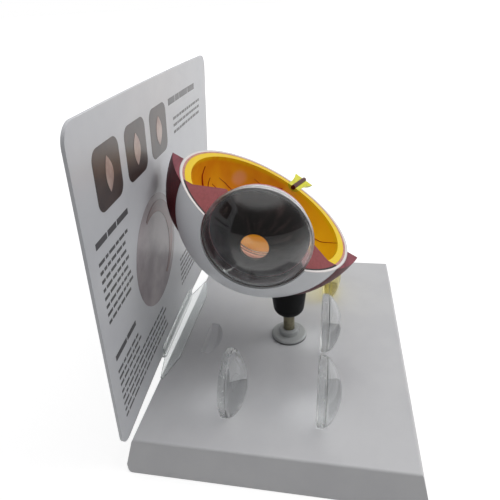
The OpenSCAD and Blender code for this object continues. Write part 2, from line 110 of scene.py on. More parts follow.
class Graph:
    """Adds and joins the nodes of one shader or geometry tree."""

    def __init__(self, tree: bpy.types.NodeTree) -> None:
        """Keeps the tree that is built."""
        self.tree = tree

    def feed(self, socket: Socket, value: object) -> None:
        """Links a socket to another socket, or sets its value.

        Args:
            socket: The input.
            value: A socket, a number, a colour or a vector.
        """
        if isinstance(value, bpy.types.NodeSocket):
            self.tree.links.new(value, socket)
            return
        if hasattr(socket.default_value, "__len__") and hasattr(value, "__len__"):
            value = tuple(value) + (1.0,) * (len(socket.default_value) - len(value))
        socket.default_value = value

    def add(self, kind: str, inputs: Optional[dict[object, object]] = None,
            **settings: object) -> bpy.types.Node:
        """Adds a node.

        Args:
            kind: The node's type name.
            inputs: Values or sockets for its inputs, by name or number.
            settings: Properties that are set on it.

        Returns:
            The new node.
        """
        node = self.tree.nodes.new(kind)
        for name, value in settings.items():
            setattr(node, name, value)
        for label, value in (inputs or {}).items():
            self.feed(node.inputs[label], value)
        return node

    def through(self, kind: str, *values: object, **settings: object) -> Socket:
        """Adds a node that is fed in the order of its inputs: gives its first output."""
        return self.add(kind, dict(enumerate(values)), **settings).outputs[0]

    def math(self, operation: str, *values: Value, clamp: bool = False) -> Socket:
        """Adds a Math node; clamp keeps its result from 0 to 1."""
        return self.through("ShaderNodeMath", *values, operation=operation, use_clamp=clamp)

    def times(self, *values: Value) -> Socket:
        """The product of two numbers."""
        return self.math("MULTIPLY", *values)

    def plus(self, *values: Value) -> Socket:
        """The sum of two numbers."""
        return self.math("ADD", *values)

    def fused(self, first: Value, second: Value, third: Value, clamp: bool = False) -> Socket:
        """The first number times the second, plus the third."""
        return self.math("MULTIPLY_ADD", first, second, third, clamp=clamp)

    def vector(self, operation: str, first: object, second: object = AT_ORIGIN) -> Socket:
        """Adds a Vector Math node.

        Args:
            operation: Its operation.
            first: First input.
            second: Second input.

        Returns:
            Its vector output, or its number output for a dot product or a length.
        """
        other = "Scale" if operation == "SCALE" else 1
        node = self.add("ShaderNodeVectorMath", {0: first, other: second}, operation=operation)
        number = operation in ("DOT_PRODUCT", "LENGTH", "DISTANCE")
        return node.outputs["Value" if number else "Vector"]

    def parts(self, vector: Socket) -> Sockets:
        """The three numbers of a vector."""
        return self.add("ShaderNodeSeparateXYZ", {0: vector}).outputs

    def join(self, *values: Value) -> Socket:
        """A vector of three numbers."""
        return self.through("ShaderNodeCombineXYZ", *values)

    def step(self, value: Value, low: Value, high: Value) -> Socket:
        """Maps a number from a range to 0 to 1, with eased ends.

        Args:
            value: The number.
            low: Where the result is 0.
            high: Where the result is 1.

        Returns:
            The result.
        """
        ends = {"Value": value, "From Min": low, "From Max": high}
        return self.add("ShaderNodeMapRange", ends, interpolation_type="SMOOTHSTEP").outputs[0]

    def mix(self, mask: Value, low: object, high: object) -> Socket:
        """Mixes two colours.

        Args:
            mask: 0 gives low and 1 gives high.
            low: First colour.
            high: Second colour.

        Returns:
            The mixed colour.
        """
        ends = {"Factor": mask, 6: low, 7: high}
        return self.add("ShaderNodeMix", ends, data_type="RGBA").outputs[2]

    def noise(self, vector: object, scale: Value, detail: float = 2.0,
              rough: float = 0.5, distortion: float = 0.0) -> Socket:
        """Adds a noise texture.

        Args:
            vector: Where it is read.
            scale: Its scale, in features per metre.
            detail: Its detail.
            rough: Its roughness.
            distortion: Its distortion.

        Returns:
            A number from 0 to 1.
        """
        return self.add("ShaderNodeTexNoise", {
            "Vector": vector, "Scale": scale, "Detail": detail, "Roughness": rough,
            "Distortion": distortion}).outputs["Fac"]

    def ray(self, kind: str) -> Socket:
        """Mask of one kind of ray."""
        return self.add("ShaderNodeLightPath").outputs[f"Is {kind} Ray"]


class SharedEffects:
    """Shader groups that several finishes place, each built once."""

    def __init__(self, eye: "EyeFrame") -> None:
        """Builds the groups.

        Args:
            eye: The eyeball's own frame.
        """
        self.eye = eye
        self.groups = {
            Effect.GRAIN: self._group(
                Effect.GRAIN, {"Grain per mm": 2.0, "Mottle per mm": 0.05}, self._grain),
            Effect.EYE: self._group(Effect.EYE, {}, self._eye_place),
            Effect.STREAKS: self._group(
                Effect.STREAKS, {"Stretch": (1.0, 1.0, 1.0), "Per mm": 1.0}, self._streaks),
            Effect.HANDLING: self._group(
                Effect.HANDLING, {"Smear per mm": 0.12, "Speck per mm": 0.5}, self._handling),
        }

    @staticmethod
    def _group(effect: Effect, inputs: dict[str, object],
               rule: Callable[[Graph, Sockets], dict[str, Socket]]) -> bpy.types.NodeTree:
        """Builds a shader group.

        Args:
            effect: The group's name.
            inputs: Its inputs besides Vector, with their start values.
            rule: Gives its outputs from its graph and its inputs.

        Returns:
            The group.
        """
        tree = bpy.data.node_groups.new(effect.value, "ShaderNodeTree")
        for label, value in {"Vector": AT_ORIGIN, **inputs}.items():
            kind = "NodeSocketVector" if isinstance(value, tuple) else "NodeSocketFloat"
            made = tree.interface.new_socket(name=label, in_out="INPUT", socket_type=kind)
            made.default_value = value
        graph = Graph(tree)
        results = rule(graph, graph.add("NodeGroupInput").outputs)
        for label in results:
            tree.interface.new_socket(name=label, in_out="OUTPUT", socket_type="NodeSocketFloat")
        graph.add("NodeGroupOutput", results)
        return tree

    @staticmethod
    def _grain(graph: Graph, into: Sockets) -> dict[str, Socket]:
        """Fine moulding grain with slow mottling.

        Args:
            graph: The group's graph.
            into: Its inputs.

        Returns:
            Its outputs by name.
        """
        fine = graph.times(into["Grain per mm"], PER_MM)
        slow = graph.times(into["Mottle per mm"], PER_MM)
        return {"Height": graph.noise(into["Vector"], fine, 3.0, 0.6),
                "Mottle": graph.noise(into["Vector"], slow, 4.0, 0.55)}

    def _eye_place(self, graph: Graph, into: Sockets) -> dict[str, Socket]:
        """Where a point lies in the eyeball, in millimetres, and a mask of the cut face.

        Args:
            graph: The group's graph.
            into: Its inputs.

        Returns:
            The place across and above the optic axis, its distances and the mask.
        """
        from_centre = graph.vector("SUBTRACT", into["Vector"], self.eye.centre * MM)
        local = graph.vector("MULTIPLY", from_centre, (PER_MM, PER_MM, PER_MM))
        across, height = (graph.vector("DOT_PRODUCT", local, way)
                          for way in (self.eye.right, self.eye.up))
        squares = graph.plus(graph.times(across, across), graph.times(height, height))
        above = graph.plus(height, self.eye.cut_drop)
        return {"Across": across, "Height": height,
                "From Axis": graph.math("SQRT", squares),
                "From Centre": graph.vector("LENGTH", local),
                "Turn": graph.math("ARCTAN2", height, across),
                "Cut Face": graph.step(above, -0.12, -0.04)}

    @staticmethod
    def _streaks(graph: Graph, into: Sockets) -> dict[str, Socket]:
        """Long brush marks or fibres along one direction.

        Args:
            graph: The group's graph.
            into: Its inputs.

        Returns:
            Its outputs by name.
        """
        drawn = graph.vector("MULTIPLY", into["Vector"], into["Stretch"])
        scale = graph.times(into["Per mm"], PER_MM)
        return {"Fine": graph.noise(drawn, scale, 3.0, 0.6),
                "Broad": graph.noise(drawn, graph.times(scale, 0.25), 2.0, 0.5)}

    @staticmethod
    def _handling(graph: Graph, into: Sockets) -> dict[str, Socket]:
        """Faint smears and specks where a surface is touched.

        Args:
            graph: The group's graph.
            into: Its inputs.

        Returns:
            Its outputs by name.
        """
        wide = graph.times(into["Smear per mm"], PER_MM)
        smear = graph.noise(into["Vector"], wide, 5.0, 0.65, 1.2)
        cells = graph.add("ShaderNodeTexVoronoi", {
            "Vector": into["Vector"], "Scale": graph.times(into["Speck per mm"], PER_MM)},
            feature="F1")
        return {"Smear": graph.step(smear, 0.52, 0.72),
                "Speck": graph.step(cells.outputs["Distance"], 0.09, 0.03)}


# ---------------------------------------------------------------- frames


@dataclass(frozen=True)
class EyeFrame:
    """The eyeball's own frame: it looks along -X and its cut face leans to the front."""

    centre_mm: Triple = (-2.0, 5.8, 94.2)
    tilt_deg: float = 31.0
    cut_drop: float = 1.6

    @property
    def centre(self) -> Vector:
        """The eyeball's centre, in millimetres."""
        return Vector(self.centre_mm)

    @property
    def ahead(self) -> Vector:
        """The way the eye looks."""
        return Vector((-1.0, 0.0, 0.0))

    @property
    def right(self) -> Vector:
        """Along the cut face, towards the front of the base."""
        a = math.radians(self.tilt_deg)
        return Vector((0.0, -math.cos(a), -math.sin(a)))

    @property
    def up(self) -> Vector:
        """Out of the cut face."""
        a = math.radians(self.tilt_deg)
        return Vector((0.0, -math.sin(a), math.cos(a)))

    def point(self, forward: float, across: float, height: float) -> Vector:
        """A point of the eye's frame in the model's frame, in metres.

        Args:
            forward: Millimetres ahead of the centre.
            across: Millimetres towards the front of the base.
            height: Millimetres above the optic axis.

        Returns:
            The point.
        """
        place = self.centre + self.ahead * forward + self.right * across + self.up * height
        return place * MM

    def on_wall(self, radius: float, turn_deg: float, rise_deg: float) -> Vector:
        """A point on a sphere about the centre, in metres.

        Args:
            radius: The sphere's radius in millimetres.
            turn_deg: Angle from straight back towards the front of the base.
            rise_deg: Angle above the optic axis.

        Returns:
            The point.
        """
        turn, rise = math.radians(turn_deg), math.radians(rise_deg)
        flat = radius * math.cos(rise)
        return self.point(-flat * math.cos(turn), flat * math.sin(turn), radius * math.sin(rise))


@dataclass(frozen=True)
class CardFrame:
    """The card's own frame: middle of its lower edge, leaning and turned, with its gentle bow."""

    foot_mm: Triple = (0.0, 63.0, 16.4)
    lean_deg: float = 3.8
    turn_deg: float = 1.6
    bow_radius: float = 2180.0
    thickness: float = 1.2
    lift: float = 0.1

    def front(self, across: float, up: float, proud: float) -> Vector:
        """A point over the card's printed face, in metres.

        Args:
            across: Millimetres from the card's middle.
            up: Millimetres above its lower edge.
            proud: Millimetres in front of the face.

        Returns:
            The point.
        """
        inner = self.bow_radius - self.thickness / 2 - proud
        depth = math.sqrt(inner * inner - across * across) - self.bow_radius
        a, t = math.radians(self.lean_deg), math.radians(self.turn_deg)
        across, depth = (across * math.cos(t) - depth * math.sin(t),
                         across * math.sin(t) + depth * math.cos(t))
        up += self.lift
        x, y, z = self.foot_mm
        return Vector((x + across,
                       y + depth * math.cos(a) - up * math.sin(a),
                       z + depth * math.sin(a) + up * math.cos(a))) * MM


# ---------------------------------------------------------------- finishes


class Surface(Graph):
    """A new material with one Principled shader, and its graph."""

    def __init__(self, name: str, effects: Optional[SharedEffects] = None) -> None:
        """Makes the material.

        Args:
            name: Its name.
            effects: The shared shader groups, where it places some.
        """
        self.material = bpy.data.materials.new(name)
        self.material.use_nodes = True
        super().__init__(self.material.node_tree)
        self.effects = effects
        self.shader = self.tree.nodes["Principled BSDF"]
        self.place = self.add("ShaderNodeTexCoord").outputs["Object"]

    def effect(self, effect: Effect, **inputs: object) -> Sockets:
        """Places a shared group over the surface.

        Args:
            effect: The group.
            inputs: Its inputs, with underscores in place of spaces.

        Returns:
            Its outputs.
        """
        fed = {name.replace("_", " "): value for name, value in inputs.items()}
        return self.add("ShaderNodeGroup", {"Vector": self.place, **fed},
                        node_tree=self.effects.groups[effect]).outputs

    def set(self, **inputs: object) -> None:
        """Feeds sockets of the shader, named with underscores in place of spaces."""
        for name, value in inputs.items():
            self.feed(self.shader.inputs[name.replace("_", " ")], value)

    def bump(self, height: Socket, depth_mm: float, strength: float = 1.0) -> None:
        """Adds surface relief.

        Args:
            height: The relief, from 0 to 1.
            depth_mm: Its depth.
            strength: The Bump node's strength.
        """
        self.set(Normal=self.add("ShaderNodeBump", {
            "Strength": strength, "Distance": depth_mm * MM, "Height": height}).outputs[0])

    def let_light_through(self, share: Colour) -> None:
        """Lets the lamps shine through the material, as clear plastic does.

        Args:
            share: Share of the light that passes each wall, for each colour.
        """
        passing = self.through("ShaderNodeBsdfTransparent", share)
        blend = self.through("ShaderNodeMixShader", self.ray("Shadow"),
                             self.shader.outputs[0], passing)
        self.feed(self.tree.nodes["Material Output"].inputs["Surface"], blend)


class Finish:
    """A finish; each kind says how its surface is painted."""

    def paint(self, on: Surface) -> None:
        """Feeds the shader of one surface."""
        raise NotImplementedError

    def make(self, effects: SharedEffects) -> Material:
        """Builds the material.

        Args:
            effects: The shared shader groups.

        Returns:
            The material.
        """
        surface = Surface(self.name, effects)
        self.paint(surface)
        return surface.material


@dataclass(frozen=True)
class MouldedPlastic(Finish):
    """Opaque moulded plastic with fine grain, slow mottling and light handling marks.

    A painted contact shade is a dark band at a piece's lowest edge, where it sits on another
    part: its height and width in millimetres.
    Recesses get a paler colour, painted light that lifts the shade in them: half length, half
    width and height of their rims.
    """

    name: str
    colour: Colour
    worn: Colour
    roughness: float = 0.45
    grain_mm: float = 0.012
    grain_per_mm: float = 1.6
    smears: float = 0.12
    coat: float = 0.0
    specular: float = 0.5
    # Painted contact shade at the lowest edge: height and width in millimetres, then how dark it
    # gets.
    low_edge_shade: Optional[Pair] = None
    low_edge_shade_share: float = 0.12
    # Painted light in the recesses: their extent, and how much paler they are painted.
    painted_light_recess: Optional[Triple] = None
    painted_light_lift: float = 1.2

    def paint(self, on: Surface) -> None:
        """Feeds the shader.

        Args:
            on: The surface that is painted.
        """
        grain = on.effect(Effect.GRAIN, Grain_per_mm=self.grain_per_mm)
        marks = on.effect(Effect.HANDLING)
        mottle = on.step(grain["Mottle"], 0.35, 0.7)
        colour = on.mix(on.times(mottle, 0.6), self.colour, self.worn)
        # Painted contact shade: a dark band along the lowest edge, where the piece sits on the
        # base.
        if self.low_edge_shade is not None:
            height, width = self.low_edge_shade
            up = on.vector("DOT_PRODUCT", on.place, (0.0, 0.0, 1.0))
            low = on.step(up, (height + width) * MM, (height + width * 0.3) * MM)
            colour = on.mix(on.times(low, 0.9), colour, scaled(self.worn, self.low_edge_shade_share))
        # Painted light: surfaces inside the recesses are painted paler to lift their shade.
        if self.painted_light_recess is not None:
            far = on.vector("DIVIDE", on.place, scaled(self.painted_light_recess, MM))
            x, y, z = on.parts(on.vector("ABSOLUTE", far))
            inside = on.math("LESS_THAN", on.math("MAXIMUM", x, y), 1.0)
            pale = tuple(min(1.0, c * self.painted_light_lift) for c in self.colour)
            colour = on.mix(on.times(inside, on.step(z, 0.995, 0.975)), colour, pale)
        rough = on.plus(on.times(marks["Smear"], self.smears), self.roughness)
        on.set(Base_Color=colour, Roughness=on.fused(grain["Height"], 0.06, rough),
               Coat_Weight=self.coat, Coat_Roughness=0.12, Specular_IOR_Level=self.specular)
        on.bump(grain["Height"], self.grain_mm)


@dataclass(frozen=True)
class TurnedMetal(Finish):
    """Metal with fine turning marks round the rod's axis."""

    name: str
    colour: Colour
    dull: Colour
    roughness: float = 0.34
    lines_per_mm: float = 5.0

    def paint(self, on: Surface) -> None:
        """Feeds the shader.

        Args:
            on: The surface that is painted.
        """
        lines = on.effect(Effect.STREAKS, Stretch=(0.06, 0.06, 1.0), Per_mm=self.lines_per_mm)
        grain = on.effect(Effect.GRAIN, Mottle_per_mm=0.18)
        dull = on.step(grain["Mottle"], 0.4, 0.68)
        on.set(Base_Color=on.mix(dull, self.colour, self.dull), Metallic=0.85,
               Roughness=on.fused(lines["Fine"], 0.2, self.roughness - 0.1))
        on.bump(lines["Fine"], 0.01)


@dataclass(frozen=True)
class ClearPlastic(Finish):
    """Clear polished plastic with faint smears.

    It can hold a cloudy patch, a frosted band from a distance off the optic axis, and a
    frosted rim round an upright lens.
    """

    name: str
    tint: Colour
    roughness: float = 0.03
    ior: float = 1.47
    smears: float = 0.10
    clear: float = 1.0
    passes: float = 0.86
    cloud_centre: Optional[Triple] = None
    cloud_size: Triple = (8.0, 6.0, 10.0)
    cloud_colour: Colour = (0.5, 0.5, 0.5)
    cloud_rough: float = 0.5
    frosted_from: Optional[float] = None
    frosted_width: float = 1.0
    rim_centre: Optional[Triple] = None
    rim_radius: float = 15.1
    rim_width: float = 0.3
    rim_rough: float = 0.22

    def paint(self, on: Surface) -> None:
        """Feeds the shader.

        Args:
            on: The surface that is painted.
        """
        marks = on.effect(Effect.HANDLING, Smear_per_mm=0.25, Speck_per_mm=0.35)
        grain = on.effect(Effect.GRAIN, Grain_per_mm=0.35)
        rough = on.fused(marks["Smear"], self.smears, self.roughness)
        shade = on.mix(on.times(marks["Speck"], 0.25), self.tint, scaled(self.tint, 0.75))
        if self.cloud_centre is not None:
            away = on.vector("SUBTRACT", on.place, scaled(self.cloud_centre, MM))
            away = on.vector("MULTIPLY", away, tuple(1 / (s * MM) for s in self.cloud_size))
            cloud = on.step(on.fused(grain["Mottle"], 0.5, on.vector("LENGTH", away)), 1.35, 0.65)
            shade = on.mix(cloud, shade, self.cloud_colour)
            rough = on.fused(cloud, self.cloud_rough, rough, clamp=True)
        if self.frosted_from is not None:
            band = on.step(on.effect(Effect.EYE)["From Axis"], self.frosted_from,
                           self.frosted_from + self.frosted_width)
            rough = on.fused(band, self.rim_rough, rough, clamp=True)
        if self.rim_centre is not None:
            away = on.vector("SUBTRACT", on.place, scaled(self.rim_centre, MM))
            away = on.vector("LENGTH", on.vector("MULTIPLY", away, (1.0, 0.0, 1.0)))
            band = on.step(away, self.rim_radius * MM, (self.rim_radius + self.rim_width) * MM)
            rough = on.fused(band, self.rim_rough, rough, clamp=True)
        on.set(Base_Color=shade, Roughness=rough, Transmission_Weight=self.clear, IOR=self.ior)
        on.bump(grain["Mottle"], 0.004, 0.3)
        on.let_light_through(scaled(self.tint, self.passes))


@dataclass(frozen=True)
class WhiteCoat(Finish):
    """White outer coat of the eyeball, with a pinkish cut face and a dark line along its outer
    edge.
    """

    name: str = "sclera_white"
    white: Colour = srgb(242, 244, 247)
    warm: Colour = srgb(234, 236, 238)
    cut: Colour = srgb(234, 228, 226)
    line: Colour = srgb(74, 68, 74)
    line_band: Pair = (43.7, 44.05)
    line_share: float = 0.35

    def paint(self, on: Surface) -> None:
        """Feeds the shader.

        Args:
            on: The surface that is painted.
        """
        place = on.effect(Effect.EYE)
        grain = on.effect(Effect.GRAIN, Grain_per_mm=1.1)
        marks = on.effect(Effect.HANDLING)
        mottle = on.step(grain["Mottle"], 0.4, 0.7)
        skin = on.mix(on.times(mottle, 0.5), self.white, self.warm)
        outer = on.step(place["From Centre"], *self.line_band)
        edge = on.mix(on.times(outer, self.line_share), self.cut, self.line)
        on.set(Base_Color=on.mix(place["Cut Face"], skin, edge),
               Roughness=on.fused(marks["Smear"], 0.12, 0.33),
               Coat_Weight=0.15, Coat_Roughness=0.15)
        on.bump(grain["Height"], 0.01)


@dataclass(frozen=True)
class PaintedCoat(Finish):
    """Brush-painted coat: one colour on the wall, another on the cut face."""

    name: str
    wall: Colour
    deep: Colour
    cut: Colour
    cut_deep: Colour
    roughness: float = 0.42
    brush_per_mm: float = 0.5
    stretch: Triple = (1.0, 1.0, 1.0)

    def paint(self, on: Surface) -> None:
        """Feeds the shader.

        Args:
            on: The surface that is painted.
        """
        strokes = on.effect(Effect.STREAKS, Stretch=self.stretch, Per_mm=self.brush_per_mm)
        marks = on.effect(Effect.HANDLING)
        wall = on.mix(on.step(strokes["Broad"], 0.35, 0.68), self.wall, self.deep)
        cut = on.mix(on.step(strokes["Fine"], 0.4, 0.7), self.cut, self.cut_deep)
        on.set(Base_Color=on.mix(on.effect(Effect.EYE)["Cut Face"], wall, cut),
               Roughness=on.fused(marks["Smear"], 0.15, self.roughness),
               Coat_Weight=0.08, Coat_Roughness=0.25, Specular_IOR_Level=0.3)
        on.bump(strokes["Fine"], 0.04)


@dataclass(frozen=True)
class RetinaPaint(Finish):
    """Orange-yellow paint of the inner coat: bright at the rim, deeper in the bowl, with painted
    light on the side towards the front of the base.
    """

    name: str = "retina_yellow"
    rim: Colour = srgb(244, 208, 8)
    wall: Colour = srgb(250, 184, 24)
    deep: Colour = srgb(236, 152, 16)
    # Painted light: the lighter colour on the side of the bowl towards the front of the base, and
    # where across the eye it comes in.
    painted_light_side: Colour = srgb(255, 206, 20)
    painted_light_side_across: Pair = (4.0, 34.0)
    rim_height: Pair = (-4.6, -2.2)
    patch_radius: float = 38.9
    patches: Sequence[tuple[Pair, Colour, float, float]] = (
        ((-28.6, -16.1), srgb(240, 172, 124), 5.6, 0.85),
        ((15.5, -6.0), srgb(246, 190, 62), 5.5, 0.8),
    )

    def paint(self, on: Surface) -> None:
        """Feeds the shader.

        Args:
            on: The surface that is painted.
        """
        place = on.effect(Effect.EYE)
        strokes = on.effect(Effect.STREAKS, Stretch=(1.0, 0.6, 0.6), Per_mm=0.4)
        colour = on.mix(on.step(strokes["Broad"], 0.3, 0.7), self.wall, self.deep)
        # Painted light: the side of the bowl towards the front of the base is painted lighter.
        painted_light_side = on.step(place["Across"], *self.painted_light_side_across)
        colour = on.mix(on.times(painted_light_side, 0.8), colour, self.painted_light_side)
        for centre, tone, size, share in self.patches:
            middle = on.effects.eye.on_wall(self.patch_radius, *centre)
            away = on.vector("DISTANCE", on.place, middle)
            mask = on.times(on.step(away, size * MM, size * 0.35 * MM), share)
            colour = on.mix(mask, colour, tone)
        near_rim = on.step(place["Height"], *self.rim_height)
        ragged = on.times(near_rim, on.step(strokes["Fine"], 0.2, 0.55))
        colour = on.mix(ragged, colour, self.rim)
        on.set(Base_Color=on.mix(place["Cut Face"], colour, self.rim),
               Roughness=on.fused(strokes["Fine"], 0.15, 0.36),
               Coat_Weight=0.1, Coat_Roughness=0.22, Specular_IOR_Level=0.3)
        on.bump(strokes["Fine"], 0.05)


@dataclass(frozen=True)
class CiliaryPaint(Finish):
    """Mauve-pink paint of the ciliary body, with the black line along its outer edge."""

    name: str = "ciliary_pink"
    wall: Colour = srgb(126, 52, 54)
    deep: Colour = srgb(96, 36, 38)
    cut: Colour = srgb(138, 56, 60)
    inside: Colour = srgb(222, 160, 154)
    inside_band: Pair = (21.6, 20.4)
    line: Colour = srgb(28, 16, 18)
    line_band: Pair = (41.9, 42.15)

    def paint(self, on: Surface) -> None:
        """Feeds the shader.

        Args:
            on: The surface that is painted.
        """
        place = on.effect(Effect.EYE)
        strokes = on.effect(Effect.STREAKS, Stretch=(0.4, 1.0, 1.0), Per_mm=0.8)
        wall = on.mix(on.step(strokes["Broad"], 0.35, 0.65), self.wall, self.deep)
        wall = on.mix(on.step(place["From Axis"], *self.inside_band), wall, self.inside)
        cut = on.mix(on.step(strokes["Fine"], 0.35, 0.8), self.cut, self.wall)
        cut = on.mix(on.step(place["From Centre"], *self.line_band), cut, self.line)
        on.set(Base_Color=on.mix(place["Cut Face"], wall, cut),
               Roughness=on.fused(strokes["Fine"], 0.15, 0.38),
               Coat_Weight=0.05, Coat_Roughness=0.25, Specular_IOR_Level=0.25)
        on.bump(strokes["Fine"], 0.05)


@dataclass(frozen=True)
class IrisPaint(Finish):
    """Near-black iris with soft brown spokes, darker towards its edges."""

    name: str = "iris_dark"
    dark: Colour = srgb(24, 18, 18)
    brown: Colour = srgb(62, 48, 46)
    rim: Colour = srgb(10, 8, 8)
    pupil_band: Pair = (6.6, 5.6)
    outer_band: Pair = (18.4, 20.2)
    spokes: float = 3.0

    def paint(self, on: Surface) -> None:
        """Feeds the shader.

        Args:
            on: The surface that is painted.
        """
        place = on.effect(Effect.EYE)
        axis, turn = place["From Axis"], place["Turn"]
        ways = (on.times(on.math(side, turn), self.spokes) for side in ("SINE", "COSINE"))
        spokes = on.noise(on.join(*ways, on.times(axis, 0.08)), 2.2)
        patches = on.noise(on.place, 90.0)
        tone = on.times(on.step(spokes, 0.42, 0.75), on.step(patches, 0.3, 0.7))
        colour = on.mix(tone, self.dark, self.brown)
        for band in (self.outer_band, self.pupil_band):
            colour = on.mix(on.step(axis, *band), colour, self.rim)
        on.set(Base_Color=colour, Roughness=on.fused(spokes, 0.12, 0.34), Specular_IOR_Level=0.2)
        on.bump(spokes, 0.02, 0.5)


@dataclass(frozen=True)
class MusclePaint(Finish):
    """Maroon muscle with fibres along its length and a mauve cut face."""

    name: str = "muscle_red"
    dark: Colour = srgb(78, 24, 30)
    light: Colour = srgb(108, 40, 46)
    cut: Colour = srgb(136, 62, 74)
    cut_deep: Colour = srgb(108, 44, 56)

    def paint(self, on: Surface) -> None:
        """Feeds the shader.

        Args:
            on: The surface that is painted.
        """
        fibres = on.effect(Effect.STREAKS, Stretch=(0.12, 1.0, 1.0), Per_mm=1.2)
        side = on.mix(on.step(fibres["Fine"], 0.35, 0.7), self.dark, self.light)
        cut = on.mix(on.step(fibres["Broad"], 0.35, 0.7), self.cut, self.cut_deep)
        on.set(Base_Color=on.mix(on.effect(Effect.EYE)["Cut Face"], side, cut),
               Roughness=on.fused(fibres["Fine"], 0.2, 0.38),
               Coat_Weight=0.05, Coat_Roughness=0.3, Specular_IOR_Level=0.25)
        on.bump(fibres["Fine"], 0.09)


@dataclass(frozen=True)
class PrintInk(Finish):
    """Printed ink with soft tone changes, as in a small halftone picture."""

    name: str
    colour: Colour
    second: Colour
    patch_per_mm: float = 0.12

    def paint(self, on: Surface) -> None:
        """Feeds the shader.

        Args:
            on: The surface that is painted.
        """
        grain = on.effect(Effect.GRAIN, Grain_per_mm=3.0, Mottle_per_mm=self.patch_per_mm)
        tone = on.step(grain["Mottle"], 0.3, 0.7)
        on.set(Base_Color=on.mix(tone, self.colour, self.second), Roughness=0.36,
               Coat_Weight=0.3, Coat_Roughness=0.2)
        on.bump(grain["Height"], 0.004)


# ---------------------------------------------------------------- mesh helpers


def placed(name: str, data: bpy.types.ID) -> Piece:
    """Makes an object at the origin and links it to the scene.

    Args:
        name: Its name.
        data: Its mesh, light or camera.

    Returns:
        The object.
    """
    made = bpy.data.objects.new(name, data)
    bpy.context.scene.collection.objects.link(made)
    return made


def outward(piece: Piece) -> None:
    """Turns all faces of a closed mesh outwards.

    Args:
        piece: The mesh object.
    """
    work = bmesh.new()
    work.from_mesh(piece.data)
    bmesh.ops.recalc_face_normals(work, faces=work.faces)
    if work.calc_volume(signed=True) < 0:
        bmesh.ops.reverse_faces(work, faces=work.faces)
    work.to_mesh(piece.data)
    work.free()
    piece.data.update()


def new_piece(name: str, vertices: Sequence[Vector], faces: Sequence[Sequence[int]],
              material: Material, smooth: bool = True) -> Piece:
    """Makes a mesh object at the origin, with its place in its mesh.

    Args:
        name: The piece's name.
        vertices: Its points, in metres.
        faces: Its faces.
        material: Its material.
        smooth: Whether it is shaded smooth.

    Returns:
        The object.
    """
    mesh = bpy.data.meshes.new(name)
    mesh.from_pydata([tuple(v) for v in vertices], [], faces)
    mesh.materials.append(material)
    mesh.polygons.foreach_set("use_smooth", [smooth] * len(mesh.polygons))
    mesh.update()
    return placed(name, mesh)


def sharpen(piece: Piece, degrees: float) -> None:
    """Marks edges sharper than an angle, so that smooth shading stops there.

    Args:
        piece: A mesh object with merged points.
        degrees: The angle.
    """
    mesh = piece.data
    normals = {}
    for polygon in mesh.polygons:
        for key in polygon.edge_keys:
            normals.setdefault(key, []).append(polygon.normal.copy())
    limit = math.cos(math.radians(degrees))
    for edge in mesh.edges:
        pair = normals.get(edge.key, [])
        edge.use_edge_sharp = len(pair) == 2 and pair[0].dot(pair[1]) < limit


def settle(piece: Piece, body: str, node: Optional[str] = None) -> None:
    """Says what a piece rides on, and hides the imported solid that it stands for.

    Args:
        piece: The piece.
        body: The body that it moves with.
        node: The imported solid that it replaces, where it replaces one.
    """
    if node is not None:
        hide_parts(node)
    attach(piece, body)
    LOG.info("made %s with %d faces", piece.name, len(piece.data.polygons))


def turn_piece(name: str, profile: Sequence[Pair], place: Place, material: Material,
               steps: int, sharp: float) -> Piece:
    """Turns a profile round an axis into a closed piece.

    Args:
        name: The piece's name.
        profile: Points (radius, along), from one pole round to the other.
        place: Gives the point for (along, first side, second side), in metres.
        material: The piece's material.
        steps: Number of steps round the axis.
        sharp: Angle from which its edges stay sharp, in degrees.

    Returns:
        The piece.
    """
    points: list[Vector] = []
    rings: list[list[int]] = []
    for radius, along in profile:
        if radius < 1e-6:
            rings.append([len(points)])
            points.append(place(along, 0.0, 0.0))
            continue
        rings.append(list(range(len(points), len(points) + steps)))
        for i in range(steps):
            a = 2 * math.pi * i / steps
            points.append(place(along, radius * math.cos(a), radius * math.sin(a)))
    faces: list[tuple[int, ...]] = []
    for first, second in zip(rings, rings[1:]):
        for i in range(steps):
            j = (i + 1) % steps
            if len(first) == 1:
                faces.append((first[0], second[i], second[j]))
            elif len(second) == 1:
                faces.append((first[j], first[i], second[0]))
            else:
                faces.append((first[j], first[i], second[i], second[j]))
    piece = new_piece(name, points, faces, material)
    outward(piece)
    sharpen(piece, sharp)
    return piece


def dress(**materials: Material) -> None:
    """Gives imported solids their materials.

    Args:
        materials: The material of each solid, by the solid's name.
    """
    for node, material in materials.items():
        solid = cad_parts[node]
        if not solid.material_slots:
            solid.data.materials.append(material)
        for place in solid.material_slots:
            place.material = material
        LOG.info("dressed %s with %s", node, material.name)


